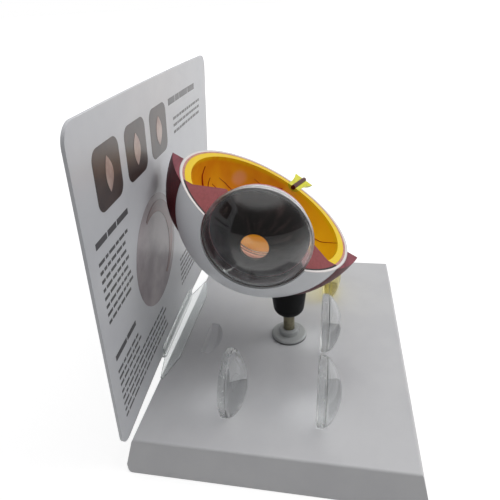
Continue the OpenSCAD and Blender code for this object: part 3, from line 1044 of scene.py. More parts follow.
class GeometryTree(Graph):
    """A geometry node tree with named inputs, run once on an object and then removed."""

    KINDS = {tuple: "NodeSocketVector", int: "NodeSocketInt", float: "NodeSocketFloat",
             type(None): "NodeSocketMaterial"}

    def __init__(self, name: str, inputs: dict[str, object]) -> None:
        """Starts the tree.

        Args:
            name: Its name.
            inputs: Its named inputs with their start values; None makes a material.
        """
        super().__init__(bpy.data.node_groups.new(name, "GeometryNodeTree"))
        self._socket("Geometry", "INPUT", "NodeSocketGeometry")
        self.names: dict[str, str] = {}
        for label, value in inputs.items():
            made = self._socket(label, "INPUT", self.KINDS[type(value)])
            if value is not None:
                made.default_value = value
            self.names[label] = made.identifier
        self.into = self.add("NodeGroupInput").outputs

    def _socket(self, name: str, side: str, kind: str) -> bpy.types.NodeTreeInterfaceSocket:
        """Adds a socket to the tree's outside."""
        return self.tree.interface.new_socket(name=name, in_out=side, socket_type=kind)

    def pipe(self, kind: str, geometry: Socket, label: object = "Geometry",
             inputs: Optional[dict[str, object]] = None, **settings: object) -> Socket:
        """Adds a node that geometry passes through.

        Args:
            kind: The node's type name.
            geometry: The geometry that goes in.
            label: Name of the input that takes it.
            inputs: Its other inputs.
            settings: Properties that are set on it.

        Returns:
            The geometry that comes out.
        """
        return self.add(kind, {label: geometry, **(inputs or {})}, **settings).outputs[0]

    def named(self, kind: str, name: str, inputs: Optional[dict[str, object]] = None,
              **settings: object) -> bpy.types.Node:
        """Adds a node that reads or stores a named number of each point.

        Args:
            kind: The node's type name.
            name: The number's name.
            inputs: Values or sockets for its inputs.
            settings: Properties that are set on it.

        Returns:
            The new node.
        """
        node = self.add(kind, inputs, data_type="FLOAT", **settings)
        node.inputs["Name"].default_value = name
        return node

    def close(self, geometry: Socket) -> None:
        """Ends the tree in Realize Instances and Set Material.

        Args:
            geometry: The geometry that is put out.
        """
        self._socket("Geometry", "OUTPUT", "NodeSocketGeometry")
        real = self.pipe("GeometryNodeRealizeInstances", geometry)
        painted = self.pipe("GeometryNodeSetMaterial", real,
                            inputs={"Material": self.into["Material"]})
        self.add("NodeGroupOutput", {0: painted})

    def run(self, host: Piece, name: str, values: dict[str, object]) -> Piece:
        """Runs the tree on an object and keeps the result as a plain mesh.

        Args:
            host: The object that carries the modifier; it is removed.
            name: The new piece's name.
            values: Values of the named inputs.

        Returns:
            The new piece.
        """
        modifier = host.modifiers.new(name, "NODES")
        modifier.node_group = self.tree
        for label, value in values.items():
            modifier[self.names[label]] = value
        bpy.context.view_layer.update()
        made = host.evaluated_get(bpy.context.evaluated_depsgraph_get())
        mesh = bpy.data.meshes.new_from_object(made)
        host.modifiers.clear()
        bpy.data.objects.remove(host)
        mesh.name = name
        return placed(name, mesh)


# ---------------------------------------------------------------- repeated and ruled detail


class WallVessels(GeometryTree):
    """Blood vessels on the inner coat: drawn lines become tapering tubes on the wall."""

    def __init__(self) -> None:
        """Builds the tree."""
        super().__init__("wall_vessels", {
            "Centre": AT_ORIGIN, "Wall Radius": 0.0388, "Width": 0.0006, "Sides": 8,
            "Points Per Line": 40, "Wander": 0.0006, "Seed": 3.0, "Material": None})
        into, centre = self.into, self.into["Centre"]
        line = self.pipe("GeometryNodeMeshToCurve", into["Geometry"], 0)
        line = self.pipe("GeometryNodeCurveSplineType", line, "Curve", spline_type="CATMULL_ROM")
        line = self.pipe("GeometryNodeResampleCurve", line, "Curve",
                         {"Count": into["Points Per Line"]})
        place = self.through("GeometryNodeInputPosition")
        noise = self.add("ShaderNodeTexNoise", noise_dimensions="4D", inputs={
            "Vector": place, "W": into["Seed"], "Scale": 180.0})
        sway = self.vector("SUBTRACT", noise.outputs["Color"], (0.5, 0.5, 0.5))
        moved = self.vector("ADD", place, self.vector("SCALE", sway, into["Wander"]))
        out = self.vector("NORMALIZE", self.vector("SUBTRACT", moved, centre))
        on_wall = self.vector("ADD", centre, self.vector("SCALE", out, into["Wall Radius"]))
        line = self.pipe("GeometryNodeSetPosition", line, inputs={"Position": on_wall})
        along = self.add("GeometryNodeSplineParameter").outputs["Factor"]
        bore = self.named("GeometryNodeInputNamedAttribute", "bore").outputs["Attribute"]
        radius = self.times(self.times(self.fused(along, -0.72, 1.0), into["Width"]),
                            self.times(bore, 0.5))
        line = self.pipe("GeometryNodeSetCurveRadius", line, "Curve", {"Radius": radius})
        ring = self.add("GeometryNodeCurvePrimitiveCircle",
                        {"Resolution": into["Sides"], "Radius": 1.0}).outputs[0]
        tube = self.add("GeometryNodeCurveToMesh",
                        {"Curve": line, "Profile Curve": ring, "Fill Caps": True})
        if "Scale" in tube.inputs:
            self.feed(tube.inputs["Scale"], self.through("GeometryNodeInputRadius"))
        self.close(self.pipe("GeometryNodeSetShadeSmooth", tube.outputs[0]))


class PrintedLines(GeometryTree):
    """Rows of short bars, like plain printed lines, laid on the bowed and leaning card."""

    WORDS = 14.0

    def __init__(self, card: CardFrame) -> None:
        """Builds the tree.

        Args:
            card: The card's own frame.
        """
        super().__init__("printed_lines", {
            "Left": 0.0, "Top": 0.0, "Width": 0.03, "Rows": 5, "Row Pitch": 0.003,
            "Bar Height": 0.0012, "Shortest Bar": 0.0018, "Longest Bar": 0.006,
            "Bar Gap": 0.0009, "Thickness": 0.0001, "Proud": 0.00003, "Seed": 1,
            "Material": None})
        self.close(self._bend(self._bars(), card))

    def _bars(self) -> Socket:
        """Lays the bars on a flat sheet.

        Returns:
            Their geometry.
        """
        into = self.into
        points = self.add("GeometryNodePoints", {"Count": self.times(into["Rows"], self.WORDS)})
        index = self.through("GeometryNodeInputIndex")
        row = self.math("FLOOR", self.math("DIVIDE", index, self.WORDS))
        chance = self.add("FunctionNodeRandomValue", {"Seed": into["Seed"]}, data_type="FLOAT")
        ends = [s for s in chance.inputs if s.enabled and s.type == "VALUE"]
        self.feed(ends[0], into["Shortest Bar"])
        self.feed(ends[1], into["Longest Bar"])
        length = next(s for s in chance.outputs if s.enabled and s.type == "VALUE")
        start = self.add("GeometryNodeAccumulateField", {
            "Value": self.plus(length, into["Bar Gap"]), "Group ID": row},
            data_type="FLOAT", domain="POINT").outputs["Trailing"]
        middle = self.plus(into["Left"], self.fused(length, 0.5, start))
        down = self.math("SUBTRACT", into["Top"], self.times(row, into["Row Pitch"]))
        spots = self.pipe("GeometryNodeSetPosition", points.outputs[0],
                          inputs={"Position": self.join(middle, 0.0, down)})
        stored = self.named("GeometryNodeStoreNamedAttribute", "bar", {"Geometry": spots},
                            domain="POINT")
        self.feed(next(s for s in stored.inputs if s.name == "Value" and s.enabled), length)
        over = self.math("GREATER_THAN", self.plus(start, length), into["Width"])
        kept = self.pipe("GeometryNodeDeleteGeometry", stored.outputs[0],
                         inputs={"Selection": over}, domain="POINT", mode="ALL")
        bar = self.add("GeometryNodeMeshCube", {"Size": (1.0, 1.0, 1.0)}).outputs[0]
        long = self.named("GeometryNodeInputNamedAttribute", "bar").outputs["Attribute"]
        size = self.join(long, into["Thickness"], into["Bar Height"])
        copies = self.pipe("GeometryNodeInstanceOnPoints", kept, "Points",
                           {"Instance": bar, "Scale": size})
        return self.pipe("GeometryNodeRealizeInstances", copies, 0)

    def _bend(self, bars: Socket, card: CardFrame) -> Socket:
        """Lays the flat bars on the card.

        Args:
            bars: Their geometry.
            card: The card's own frame.

        Returns:
            The bent geometry.
        """
        across, back, up = self.parts(self.through("GeometryNodeInputPosition"))
        ahead = self.math("SUBTRACT", self.into["Proud"], back)
        inner = self.math("SUBTRACT", (card.bow_radius - card.thickness / 2) * MM, ahead)
        square = self.math("SUBTRACT", self.times(inner, inner), self.times(across, across))
        depth = self.math("SUBTRACT", self.math("SQRT", square), card.bow_radius * MM)
        lean, turn = math.radians(card.lean_deg), math.radians(card.turn_deg)
        side = self.fused(depth, -math.sin(turn), self.times(across, math.cos(turn)))
        depth = self.fused(across, math.sin(turn), self.times(depth, math.cos(turn)))
        up = self.plus(up, card.lift * MM)
        x, y, z = scaled(card.foot_mm, MM)
        bent = self.join(
            self.plus(side, x),
            self.fused(up, -math.sin(lean), self.fused(depth, math.cos(lean), y)),
            self.fused(up, math.cos(lean), self.fused(depth, math.sin(lean), z)))
        return self.pipe("GeometryNodeSetPosition", bars, inputs={"Position": bent})


# ---------------------------------------------------------------- sub-assemblies


@dataclass
class Base:
    """The tray-shaped base with its lens pockets."""

    plastic: Material

    def build(self) -> None:
        """Dresses the base."""
        dress(base_shell=self.plastic)


@dataclass
class Stand:
    """Foot, rod, washer, nut and the black socket."""

    white: Material
    rod: Material
    steel: Material
    black: Material

    def build(self) -> None:
        """Dresses the stand's pieces."""
        dress(stand_foot=self.white, stand_rod=self.rod, rod_washer=self.steel,
              rod_nut=self.steel, rod_socket=self.black)


@dataclass
class TextBlock:
    """A block of plain bars on the card; millimetres in the card's frame."""

    left: float
    top: float
    width: float
    rows: int
    pitch: float = 3.3
    bar: float = 1.3
    shortest: float = 1.8
    longest: float = 6.0
    seed: int = 1


@dataclass
class Card:
    """The printed card in its clear holder, with a generic print of plain shapes and bars."""

    place: CardFrame
    paper: Material
    holder: Material
    dark: Material
    pale: Material
    ball: Material
    arc: Material
    grey: Material
    proud: float = 0.08
    sunk: float = 0.03
    square_row: Sequence[float] = (-58.0, -30.0, -2.0)
    square_up: float = 112
    ball_place: Pair = (-19.0, 60.0)
    ball_radius: float = 27
    arc_radii: Pair = (17.5, 24.5)
    arc_ends: Pair = (-62, 118)
    arc_steps: int = 40
    flange_height: float = 16.0
    flange_gap: float = 0.06
    holder_edge: float = 0.22
    blocks: Sequence[TextBlock] = (
        TextBlock(-76, 93, 38, 1, bar=2.4, shortest=5.0, longest=12.0, seed=11),
        TextBlock(-76, 86, 27, 8, pitch=3.5, seed=4),
        TextBlock(-76, 44, 27, 1, bar=2.4, shortest=5.0, longest=12.0, seed=3),
        TextBlock(-76, 37, 27, 3, pitch=3.5, seed=12),
        TextBlock(-76, 26, 62, 5, pitch=3.5, seed=15),
        TextBlock(14, 121, 52, 1, bar=3.0, shortest=6.0, longest=14.0, seed=9),
        TextBlock(20, 112, 50, 3, seed=6),
        TextBlock(14, 34, 58, 6, seed=8),
    )

    def _print(self, name: str, points: Sequence[Vector], faces: Sequence[Sequence[int]],
               ink: Material) -> None:
        """Makes one flat picture of the print.

        Args:
            name: The piece's name.
            points: Its points, in metres.
            faces: Its faces.
            ink: Its ink.
        """
        piece = new_piece(name, points, faces, ink, smooth=False)
        outward(piece)
        settle(piece, "card")

    def _patch(self, name: str, outline: Sequence[Pair], middle: Pair, ink: Material,
               layer: int = 0, rings: int = 8) -> None:
        """Makes a thin closed patch of print that follows the card's bow.

        Args:
            name: The piece's name.
            outline: Points (across, up) round its edge, seen from its middle without folds.
            middle: A point inside it.
            ink: Its ink.
            layer: Which layer it lies in, over others.
            rings: Rings between its middle and edge.
        """
        n = len(outline)
        points, faces = [], []
        for proud in (self.proud * (layer + 1), self.proud * layer - self.sunk):
            base = len(points)
            points.append(self.place.front(*middle, proud))
            for k in range(1, rings + 1):
                share = k / rings
                for u, v in outline:
                    points.append(self.place.front(middle[0] + (u - middle[0]) * share,
                                                   middle[1] + (v - middle[1]) * share, proud))
            for i in range(n):
                j = (i + 1) % n
                faces.append((base, base + 1 + i, base + 1 + j))
                for k in range(rings - 1):
                    a, b = base + 1 + k * n, base + 1 + (k + 1) * n
                    faces.append((a + i, b + i, b + j, a + j))
        half = 1 + rings * n
        edge = 1 + (rings - 1) * n
        for i in range(n):
            j = (i + 1) % n
            faces.append((edge + i, half + edge + i, half + edge + j, edge + j))
        self._print(name, points, faces, ink)

    @staticmethod
    def _rounded(middle: Pair, size: float, radius: float) -> list[Pair]:
        """Outline of a rounded square.

        Args:
            middle: Its middle.
            size: Its width.
            radius: Radius of its corners.

        Returns:
            Its points.
        """
        points, flat = [], size / 2 - radius
        for corner, (sx, sy) in enumerate(((1, 1), (-1, 1), (-1, -1), (1, -1))):
            for i in range(9):
                a = math.radians(90 * corner + 90 * i / 8)
                points.append((middle[0] + sx * flat + radius * math.cos(a),
                               middle[1] + sy * flat + radius * math.sin(a)))
        return points

    @staticmethod
    def _round(middle: Pair, radius: float, steps: int = 72) -> list[Pair]:
        """Outline of a disc.

        Args:
            middle: Its middle.
            radius: Its radius.
            steps: Number of its points.

        Returns:
            Its points.
        """
        turns = (2 * math.pi * i / steps for i in range(steps))
        return [(middle[0] + radius * math.cos(a), middle[1] + radius * math.sin(a))
                for a in turns]

    @staticmethod
    def _leaf(middle: Pair, height: float, left: float, right: float,
              steps: int = 24) -> list[Pair]:
        """Outline of a two-arc lens shape, standing upright.

        Args:
            middle: The middle of its chord.
            height: Its height.
            left: Bulge to the left.
            right: Bulge to the right.
            steps: Number of points on each arc.

        Returns:
            Its points.
        """
        points = []
        for bulge, way in ((right, 1), (-left, -1)):
            for i in range(steps):
                t = way * (-1 + 2 * i / steps)
                points.append((middle[0] + bulge * (1 - t * t), middle[1] + height / 2 * t))
        return points

    def _clear_holder(self) -> None:
        """Rounds the holder's edges and lifts its flange a hair off the base for the light."""
        work = bmesh.new()
        work.from_mesh(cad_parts["card_holder"].data)
        bmesh.ops.remove_doubles(work, verts=work.verts, dist=0.002 * MM)
        bmesh.ops.dissolve_limit(work, angle_limit=math.radians(1.0), verts=work.verts,
                                 edges=work.edges)
        for corner in work.verts:
            if abs(corner.co.z - self.flange_height * MM) < 0.01 * MM:
                corner.co.z += self.flange_gap * MM
        sharp = [e for e in work.edges if len(e.link_faces) == 2 and e.calc_face_angle() > 0.5]
        bmesh.ops.bevel(work, geom=sharp, offset=self.holder_edge * MM, segments=2, profile=0.5,
                        affect="EDGES", clamp_overlap=True)
        mesh = bpy.data.meshes.new("holder_moulding")
        work.to_mesh(mesh)
        work.free()
        mesh.materials.append(self.holder)
        piece = placed("holder_moulding", mesh)
        outward(piece)
        settle(piece, "base", "card_holder")

    def _crescent(self) -> None:
        """Prints the dark red arc over the round picture."""
        inner, outer = self.arc_radii
        start, end = (math.radians(a) for a in self.arc_ends)
        steps, ball = self.arc_steps, self.ball_place
        points, faces = [], []
        for proud in (self.proud * 2, self.proud - self.sunk):
            for i in range(steps + 1):
                a = start + (end - start) * i / steps
                middle = (inner + outer) / 2
                half = (outer - inner) / 2 * (0.25 + 0.75 * math.sin(math.pi * i / steps))
                for r in (middle - half, middle, middle + half):
                    points.append(self.place.front(
                        ball[0] + r * math.cos(a), ball[1] + r * math.sin(a), proud))
        layer = 3 * (steps + 1)
        for i in range(steps):
            for base in (0, layer):
                for k in (0, 1):
                    a, b = base + 3 * i + k, base + 3 * (i + 1) + k
                    faces.append((a, b, b + 1, a + 1))
            for k in (0, 2):
                a, b = 3 * i + k, 3 * (i + 1) + k
                faces.append((a, b, layer + b, layer + a))
        for i in (0, steps):
            for k in (0, 1):
                a = 3 * i + k
                faces.append((a, a + 1, layer + a + 1, layer + a))
        self._print("print_arc", points, faces, self.arc)

    def build(self) -> None:
        """Dresses card and holder and prints the card."""
        dress(info_card=self.paper)
        self._clear_holder()
        v = self.square_up
        for k, u in enumerate(self.square_row):
            self._patch(f"print_square_{k}", self._rounded((u, v), 22, 4.5), (u, v), self.dark)
            self._patch(f"print_leaf_{k}", self._leaf((u, v), 13, 2.2 + 0.6 * k, 4.0),
                        (u + 0.5, v), self.pale, layer=1, rings=3)
        ball = self.ball_place
        self._patch("print_ball", self._round(ball, self.ball_radius), ball, self.ball)
        self._crescent()
        lines = PrintedLines(self.place)
        for k, block in enumerate(self.blocks):
            host = new_piece("lines_host", [Vector((0, 0, 0))], [], self.grey)
            settle(lines.run(host, f"print_lines_{k}", {
                "Left": block.left * MM, "Top": block.top * MM, "Width": block.width * MM,
                "Rows": block.rows, "Row Pitch": block.pitch * MM, "Bar Height": block.bar * MM,
                "Shortest Bar": block.shortest * MM, "Longest Bar": block.longest * MM,
                "Seed": block.seed, "Material": self.grey}), "card")


@dataclass
class VesselLine:
    """One drawn blood vessel: places (turn, rise) on the wall in degrees, thick end first."""

    places: Sequence[Pair]
    bore: float = 1.0


@dataclass
class Eyeball:
    """The open ball: its coats, ciliary body, nerve and muscles, with the wall's vessels."""

    eye: EyeFrame
    white: Material
    choroid: Material
    retina: Material
    ciliary: Material
    nerve: Material
    core: Material
    vessel: Material
    muscle: Material
    wall_radius: float = 38.78
    vessel_width: float = 0.8
    lines: Sequence[VesselLine] = (
        VesselLine(((12, -12), (0, -25), (-18, -34), (-36, -37), (-50, -38), (-66, -36)), 2.0),
        VesselLine(((-50, -38), (-62, -31), (-68.2, -18.8), (-68.2, -15), (-67.3, -9.9)), 2.2),
        VesselLine(((-46, -37), (-55, -32), (-58.8, -25.7), (-57.6, -19.7)), 1.8),
        VesselLine(((-30, -36), (-42, -31), (-49.8, -27), (-54.2, -24.4)), 1.2),
        VesselLine(((8, -14), (-12, -26), (-27, -28), (-34.6, -25.6), (-40.6, -22.6),
                    (-47.5, -19.4)), 1.1),
        VesselLine(((9, -9), (-2, -13), (-8.7, -14.5), (-15.8, -12.9)), 0.9),
        VesselLine(((22, -10), (40, -19), (55, -21), (67.6, -16.8), (77, -9.6), (86.3, -2.8))),
        VesselLine(((18, -14), (25, -30), (38, -42), (58, -47), (80, -40)), 1.3),
        VesselLine(((25, -30), (8, -46), (-12, -56), (-40, -60))),
        VesselLine(((38, -42), (30, -58), (10, -70)), 0.8),
    )

    def build(self) -> None:
        """Dresses the ball and lays the vessels on its wall."""
        dress(sclera_shell=self.white, choroid_coat=self.choroid, retina_coat=self.retina,
              ciliary_body=self.ciliary, optic_nerve=self.nerve, nerve_vessel=self.core,
              outer_muscle=self.muscle, inner_muscle=self.muscle)
        points, edges, bores = [], [], []
        for line in self.lines:
            for k, (turn, rise) in enumerate(line.places):
                if k:
                    edges.append((len(points) - 1, len(points)))
                points.append(self.eye.on_wall(self.wall_radius, turn, rise))
                bores.append(line.bore)
        mesh = bpy.data.meshes.new("vessel_lines")
        mesh.from_pydata([tuple(p) for p in points], edges, [])
        mesh.attributes.new("bore", "FLOAT", "POINT").data.foreach_set("value", bores)
        settle(WallVessels().run(placed("vessel_lines", mesh), "wall_vessels", {
            "Centre": self.eye.centre * MM, "Wall Radius": self.wall_radius * MM,
            "Width": self.vessel_width * MM, "Material": self.vessel}), "eye")


@dataclass
class FrontCap:
    """The clear front of the eye with the iris and its pink ring."""

    eye: EyeFrame
    clear: Material
    iris: Material
    ring: Material
    radius: float = 22.65
    wall: float = 1.0
    back: float = 31.4
    back_radius: float = 21.3
    back_wall: float = 0.6
    edge: float = 36.495
    rise: float = 11.5
    rounding: float = 0.2
    lip: float = 0.1
    lip_in: float = 0.25
    arc_steps: int = 48
    turn_steps: int = 160

    def _arc(self, ball: float, centre: float, reach: float) -> list[Pair]:
        """Points of a dome's arc after its pole.

        Args:
            ball: The dome's radius.
            centre: Where its centre lies along the axis.
            reach: How far out the arc goes.

        Returns:
            Points (radius, along).
        """
        turns = (math.asin(reach / ball) * i / self.arc_steps
                 for i in range(1, self.arc_steps + 1))
        return [(ball * math.sin(a), centre + ball * math.cos(a)) for a in turns]

    def build(self) -> None:
        """Dresses iris and ring and turns the clear dome."""
        dress(iris_disc=self.iris, iris_ring=self.ring)
        dome = (self.radius ** 2 + self.rise ** 2) / (2 * self.rise)
        centre = self.edge + self.rise - dome
        inner = self.radius - self.wall
        narrow = self.back_radius - self.back_wall
        middle = (self.edge + self.back) / 2
        hollow = dome - self.wall
        profile = [(0.0, centre + dome), *self._arc(dome, centre, self.radius),
                   ((self.radius + self.back_radius) / 2, middle),
                   (self.back_radius, self.back + self.rounding),
                   (self.back_radius - self.rounding, self.back),
                   (narrow + self.rounding, self.back), (narrow, self.back + self.rounding),
                   ((inner + narrow) / 2, middle), (inner, self.edge - self.lip),
                   *self._arc(hollow, centre, inner - self.lip_in)[::-1], (0.0, centre + hollow)]
        piece = turn_piece("front_dome", profile, self.eye.point, self.clear,
                           self.turn_steps, 50)
        settle(piece, "front_cap", "cornea_cap")


@dataclass(frozen=True)
class LensShape:
    """A two-faced lens: radius, bulges and rim in millimetres."""

    radius: float = 15.5
    full: float = 6.8
    flat: float = 0.6
    rim: float = 3.6
    rounding: float = 0.9
    steps: int = 28

    def profile(self) -> list[Pair]:
        """Profile (radius, along) from the full face's pole to the flat face's pole.

        Returns:
            The profile; the full face points along the positive direction.
        """
        points: list[Pair] = []
        for rise, sign in ((self.full, 1), (self.flat, -1)):
            ball = (self.radius ** 2 + rise ** 2) / (2 * rise)
            steep = math.asin((self.radius - self.rounding) / ball)
            face = []
            for i in range(self.steps + 1):
                a = steep * i / self.steps
                along = ball * math.cos(a) - ball + rise + self.rim / 2
                face.append((ball * math.sin(a), sign * along))
            shoulder = self.rim / 2 - self.rounding
            for i in range(1, 5):
                a = math.pi / 8 * i
                face.append((self.radius - self.rounding * (1 - math.sin(a)),
                             sign * (shoulder + self.rounding * math.cos(a))))
            points += face if sign > 0 else face[::-1]
        return points


@dataclass(frozen=True)
class StandingLens:
    """A loose lens in its pocket: its middle over the base, in millimetres."""

    node: str
    body: str
    material: str
    x: float
    y: float
    height: float = 25.9
    cloud_back: float = 4.0
    cloud_height: float = 22.0

    def finish(self) -> ClearPlastic:
        """Its finish, with a frosted rim and, save for the amber one, a cloudy patch.

        Returns:
            The finish.
        """
        rim = (self.x, self.y, self.height)
        if self.material == Slot.AMBER.value:
            return ClearPlastic(self.material, (0.86, 0.78, 0.36), rim_centre=rim)
        cloud = (self.x, self.y - self.cloud_back, self.cloud_height)
        return ClearPlastic(self.material, (0.95, 0.96, 0.96), cloud_centre=cloud, rim_centre=rim)

    def point(self, along: float, first: float, second: float) -> Vector:
        """A point of the lens, whose fuller face points towards the front of the base."""
        return Vector((self.x + first, self.y - along, self.height + second)) * MM


@dataclass
class LensSet:
    """The loose lenses in the base and the lens inside the eye."""

    eye: EyeFrame
    shape: LensShape
    effects: SharedEffects
    inner_front: float = 22.0
    turn_steps: int = 128
    standing: Sequence[StandingLens] = (
        StandingLens("lens_front_left", "front_left_lens", "lens_clear", -50.0, -22.0),
        StandingLens("lens_front_middle", "front_middle_lens", "lens_clear_middle", -2.5, -22.0),
        StandingLens("lens_front_right", "front_right_lens", "lens_amber", 45.0, -22.0),
        StandingLens("lens_back_left", "back_left_lens", "lens_clear_back", -50.0, 20.0),
    )

    def _turn(self, node: str, body: str, finish: ClearPlastic, place: Place) -> None:
        """Turns one lens and names what it stands for.

        Args:
            node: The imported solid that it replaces.
            body: The body that it moves with.
            finish: Its finish.
            place: Gives the point for (along, first side, second side), in metres.
        """
        piece = turn_piece(f"clear_{node}", self.shape.profile(), place,
                           finish.make(self.effects), self.turn_steps, 35)
        settle(piece, body, node)

    def _inside(self, along: float, first: float, second: float) -> Vector:
        """A point of the lens in the eye, whose fuller face points back into the eye."""
        return self.eye.point(self.inner_front - along, first, second)

    def build(self) -> None:
        """Turns the lenses."""
        for lens in self.standing:
            self._turn(lens.node, lens.body, lens.finish(), lens.point)
        inner = ClearPlastic("lens_clear_inner", (0.98, 0.93, 0.7))
        self._turn("eye_lens", "inner_lens", inner, self._inside)


# ---------------------------------------------------------------- stage


@dataclass(frozen=True)
class SoftBox:
    """A rectangular studio light."""

    name: str
    place: Triple
    aim: Triple
    size: Pair
    watts: float

    def build(self) -> None:
        """Hangs the light."""
        data = bpy.data.lights.new(self.name, "AREA")
        data.shape = "RECTANGLE"
        data.size, data.size_y = self.size
        data.energy = self.watts
        light = placed(self.name, data)
        light.visible_glossy = False
        way = Vector(self.aim) - Vector(self.place)
        facing = way.to_track_quat("-Z", "Y").to_matrix().to_4x4()
        light.matrix_world = Matrix.Translation(Vector(self.place)) @ facing
        LOG.info("hung light %s", self.name)


@dataclass
class Studio:
    """Floor, world, lights and the camera at the photograph's place.

    The surroundings are white. In reflections they dim ahead of the eye: up to dim_top above
    the horizon in the world, and away from the model on the floor.
    """

    camera_place: Triple = (-0.1919, -0.0223, 0.1772)
    azimuth: float = 11.51
    down: float = 29.34
    roll: float = 3.4
    lens: float = 31.97
    world_light: float = 0.32
    floor_light: float = 0.7
    floor_half: float = 20.0
    floor_drop: float = 0.0002
    dim_share: float = 0.08
    dim_top: float = 0.62
    dim_fade: float = 0.22
    boxes: Sequence[SoftBox] = (
        SoftBox("key_light", (0.3, -1.0, 0.95), (0.0, 0.0, 0.05), (0.9, 0.9), 6.6),
        SoftBox("top_light", (0.2, -0.05, 1.3), (0.0, 0.0, 0.05), (1.0, 1.0), 5.0),
        SoftBox("left_light", (-0.3, 0.9, 0.7), (0.0, 0.0, 0.08), (0.5, 0.8), 0.8),
    )

    @staticmethod
    def _seen(graph: Graph) -> Socket:
        """Mask of the rays that show the surroundings: camera, reflection and clear plastic."""
        direct = graph.math("MAXIMUM", graph.ray("Camera"), graph.ray("Glossy"))
        return graph.math("MAXIMUM", direct, graph.ray("Transmission"))

    def _floor(self) -> None:
        """Lays the pale floor."""
        on = Surface("floor_paper")
        slow = on.noise(on.place, 3.0)
        far = on.vector("LENGTH", on.place)
        glow = on.fused(on.step(far, 0.25, 1.1), 1.0 - self.floor_light, self.floor_light)
        ahead = on.step(on.vector("DOT_PRODUCT", on.place, (-1.0, 0.0, 0.0)), -0.15, 0.05)
        dim = on.times(on.times(ahead, on.step(far, 0.08, 0.4)), on.ray("Glossy"))
        glow = on.times(glow, on.fused(dim, self.dim_share - 1.0, 1.0))
        on.set(Base_Color=on.mix(slow, (0.5, 0.5, 0.5), (0.53, 0.53, 0.53)), Roughness=0.9,
               Emission_Color=WHITE, Emission_Strength=on.times(self._seen(on), glow))
        corners = [Vector((x * self.floor_half, y * self.floor_half, -self.floor_drop))
                   for x, y in ((-1, -1), (1, -1), (1, 1), (-1, 1))]
        new_piece("floor", corners, [(0, 1, 2, 3)], on.material, smooth=False)

    def _world(self) -> None:
        """Sets the white surroundings."""
        world = bpy.data.worlds.new("studio_white")
        bpy.context.scene.world = world
        world.use_nodes = True
        world.node_tree.nodes.clear()
        graph = Graph(world.node_tree)
        way = graph.parts(graph.add("ShaderNodeTexCoord").outputs["Generated"])
        low = graph.step(way[2], self.dim_top + self.dim_fade, self.dim_top)
        near = graph.times(graph.step(way[0], 0.1, -0.25), low)
        dim = graph.times(graph.times(near, graph.ray("Glossy")), 1.0 - self.dim_share)
        seen = graph.through("ShaderNodeBackground", WHITE, graph.math("SUBTRACT", 1.0, dim))
        soft = graph.through("ShaderNodeBackground", WHITE, self.world_light)
        blend = graph.through("ShaderNodeMixShader", self._seen(graph), soft, seen)
        graph.add("ShaderNodeOutputWorld", {"Surface": blend})

    def _camera(self) -> None:
        """Places the camera."""
        az, el, roll = (math.radians(v) for v in (self.azimuth, self.down, self.roll))
        forward = Vector((math.cos(az) * math.cos(el), math.sin(az) * math.cos(el),
                          -math.sin(el)))
        right = forward.cross(Vector((0, 0, 1))).normalized()
        low = forward.cross(right)
        turned_right = right * math.cos(roll) + low * math.sin(roll)
        turned_low = low * math.cos(roll) - right * math.sin(roll)
        data = bpy.data.cameras.new("camera")
        data.lens = self.lens
        data.sensor_width = 36.0
        data.clip_start = 0.01
        data.clip_end = 100.0
        camera = placed("camera", data)
        axes = Matrix((turned_right, -turned_low, -forward)).transposed().to_4x4()
        camera.matrix_world = Matrix.Translation(Vector(self.camera_place)) @ axes
        bpy.context.scene.camera = camera

    def build(self) -> None:
        """Builds the stage."""
        self._floor()
        self._world()
        self._camera()
        for box in self.boxes:
            box.build()
        bpy.context.scene.view_settings.view_transform = "Standard"


# ---------------------------------------------------------------- the model


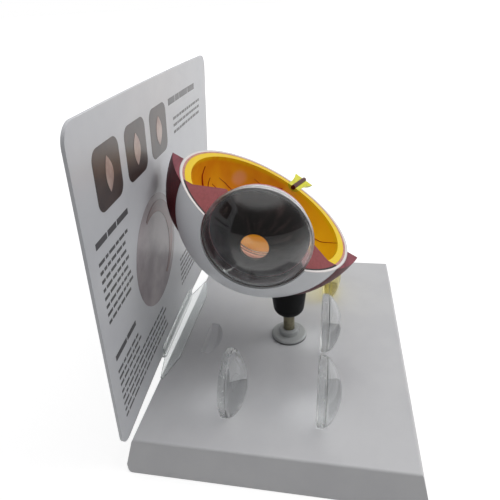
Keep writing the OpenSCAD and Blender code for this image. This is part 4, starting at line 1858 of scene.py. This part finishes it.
def main() -> None:
    """Builds the whole dressing, in order."""
    logging.basicConfig(level=logging.INFO, format="%(message)s")
    eye = EyeFrame()
    effects = SharedEffects(eye)
    vessel = MouldedPlastic("vessel_red", srgb(172, 38, 14), srgb(128, 26, 12), roughness=0.4,
                            grain_mm=0.03, specular=0.2)
    brown = MouldedPlastic("nerve_brown", srgb(82, 26, 16), srgb(52, 18, 12), roughness=0.4,
                           grain_mm=0.03, specular=0.2)
    Base(MouldedPlastic("base_plastic", srgb(206, 206, 208), srgb(198, 198, 201), roughness=0.36,
                        grain_mm=0.008, grain_per_mm=1.2,
                        # Painted light lifts the shade in the base's pockets.
                        painted_light_recess=(74.0, 54.0, 16.0)).make(effects)).build()
    Stand(
        white=MouldedPlastic("foot_plastic", srgb(168, 170, 170), srgb(158, 160, 159),
                             # The foot gets a painted contact shade along its lowest edge, where
                             # it sits on the base.
                             roughness=0.3, low_edge_shade=(16.0, 1.3)).make(effects),
        rod=TurnedMetal("rod_metal", srgb(150, 144, 120), srgb(112, 106, 86)).make(effects),
        steel=TurnedMetal("plain_steel", srgb(172, 173, 175), srgb(140, 141, 144)).make(effects),
        black=MouldedPlastic("socket_black", srgb(8, 8, 9), srgb(14, 14, 15), roughness=0.42,
                             grain_mm=0.01, specular=0.18).make(effects),
    ).build()
    Card(
        place=CardFrame(),
        paper=MouldedPlastic("card_print", srgb(209, 210, 214), srgb(202, 203, 208),
                             roughness=0.32, grain_mm=0.003, coat=0.2).make(effects),
        holder=ClearPlastic("clear_holder", (0.93, 0.95, 0.95), roughness=0.05, ior=1.25,
                            clear=0.8).make(effects),
        dark=PrintInk("ink_dark", srgb(44, 34, 32), srgb(66, 50, 46)).make(effects),
        pale=PrintInk("ink_pale", srgb(196, 176, 168), srgb(160, 130, 122)).make(effects),
        ball=PrintInk("ink_ball", srgb(168, 156, 160), srgb(112, 98, 104), 0.05).make(effects),
        arc=PrintInk("ink_arc", srgb(112, 46, 46), srgb(86, 34, 36)).make(effects),
        grey=PrintInk("ink_grey", srgb(58, 56, 58), srgb(76, 74, 77)).make(effects),
    ).build()
    Eyeball(
        eye=eye,
        white=WhiteCoat().make(effects),
        choroid=PaintedCoat("choroid_pink", srgb(188, 120, 116), srgb(168, 98, 96),
                            srgb(206, 146, 136), srgb(184, 120, 112)).make(effects),
        retina=RetinaPaint().make(effects),
        ciliary=CiliaryPaint().make(effects),
        nerve=PaintedCoat("nerve_green", srgb(220, 222, 52), srgb(190, 196, 40),
                          srgb(228, 224, 36), srgb(206, 202, 28),
                          stretch=(0.15, 1.0, 1.0)).make(effects),
        core=brown.make(effects),
        vessel=vessel.make(effects),
        muscle=MusclePaint().make(effects),
    ).build()
    FrontCap(
        eye=eye,
        clear=ClearPlastic("cap_clear", (0.96, 0.97, 0.97), roughness=0.02, frosted_from=20.6,
                           rim_rough=0.3).make(effects),
        iris=IrisPaint().make(effects),
        ring=PaintedCoat("ring_pink", srgb(196, 120, 124), srgb(172, 94, 100),
                         srgb(206, 134, 136), srgb(184, 108, 112)).make(effects),
    ).build()
    LensSet(eye, LensShape(), effects).build()
    Studio().build()


if __name__ == "__main__":
    main()
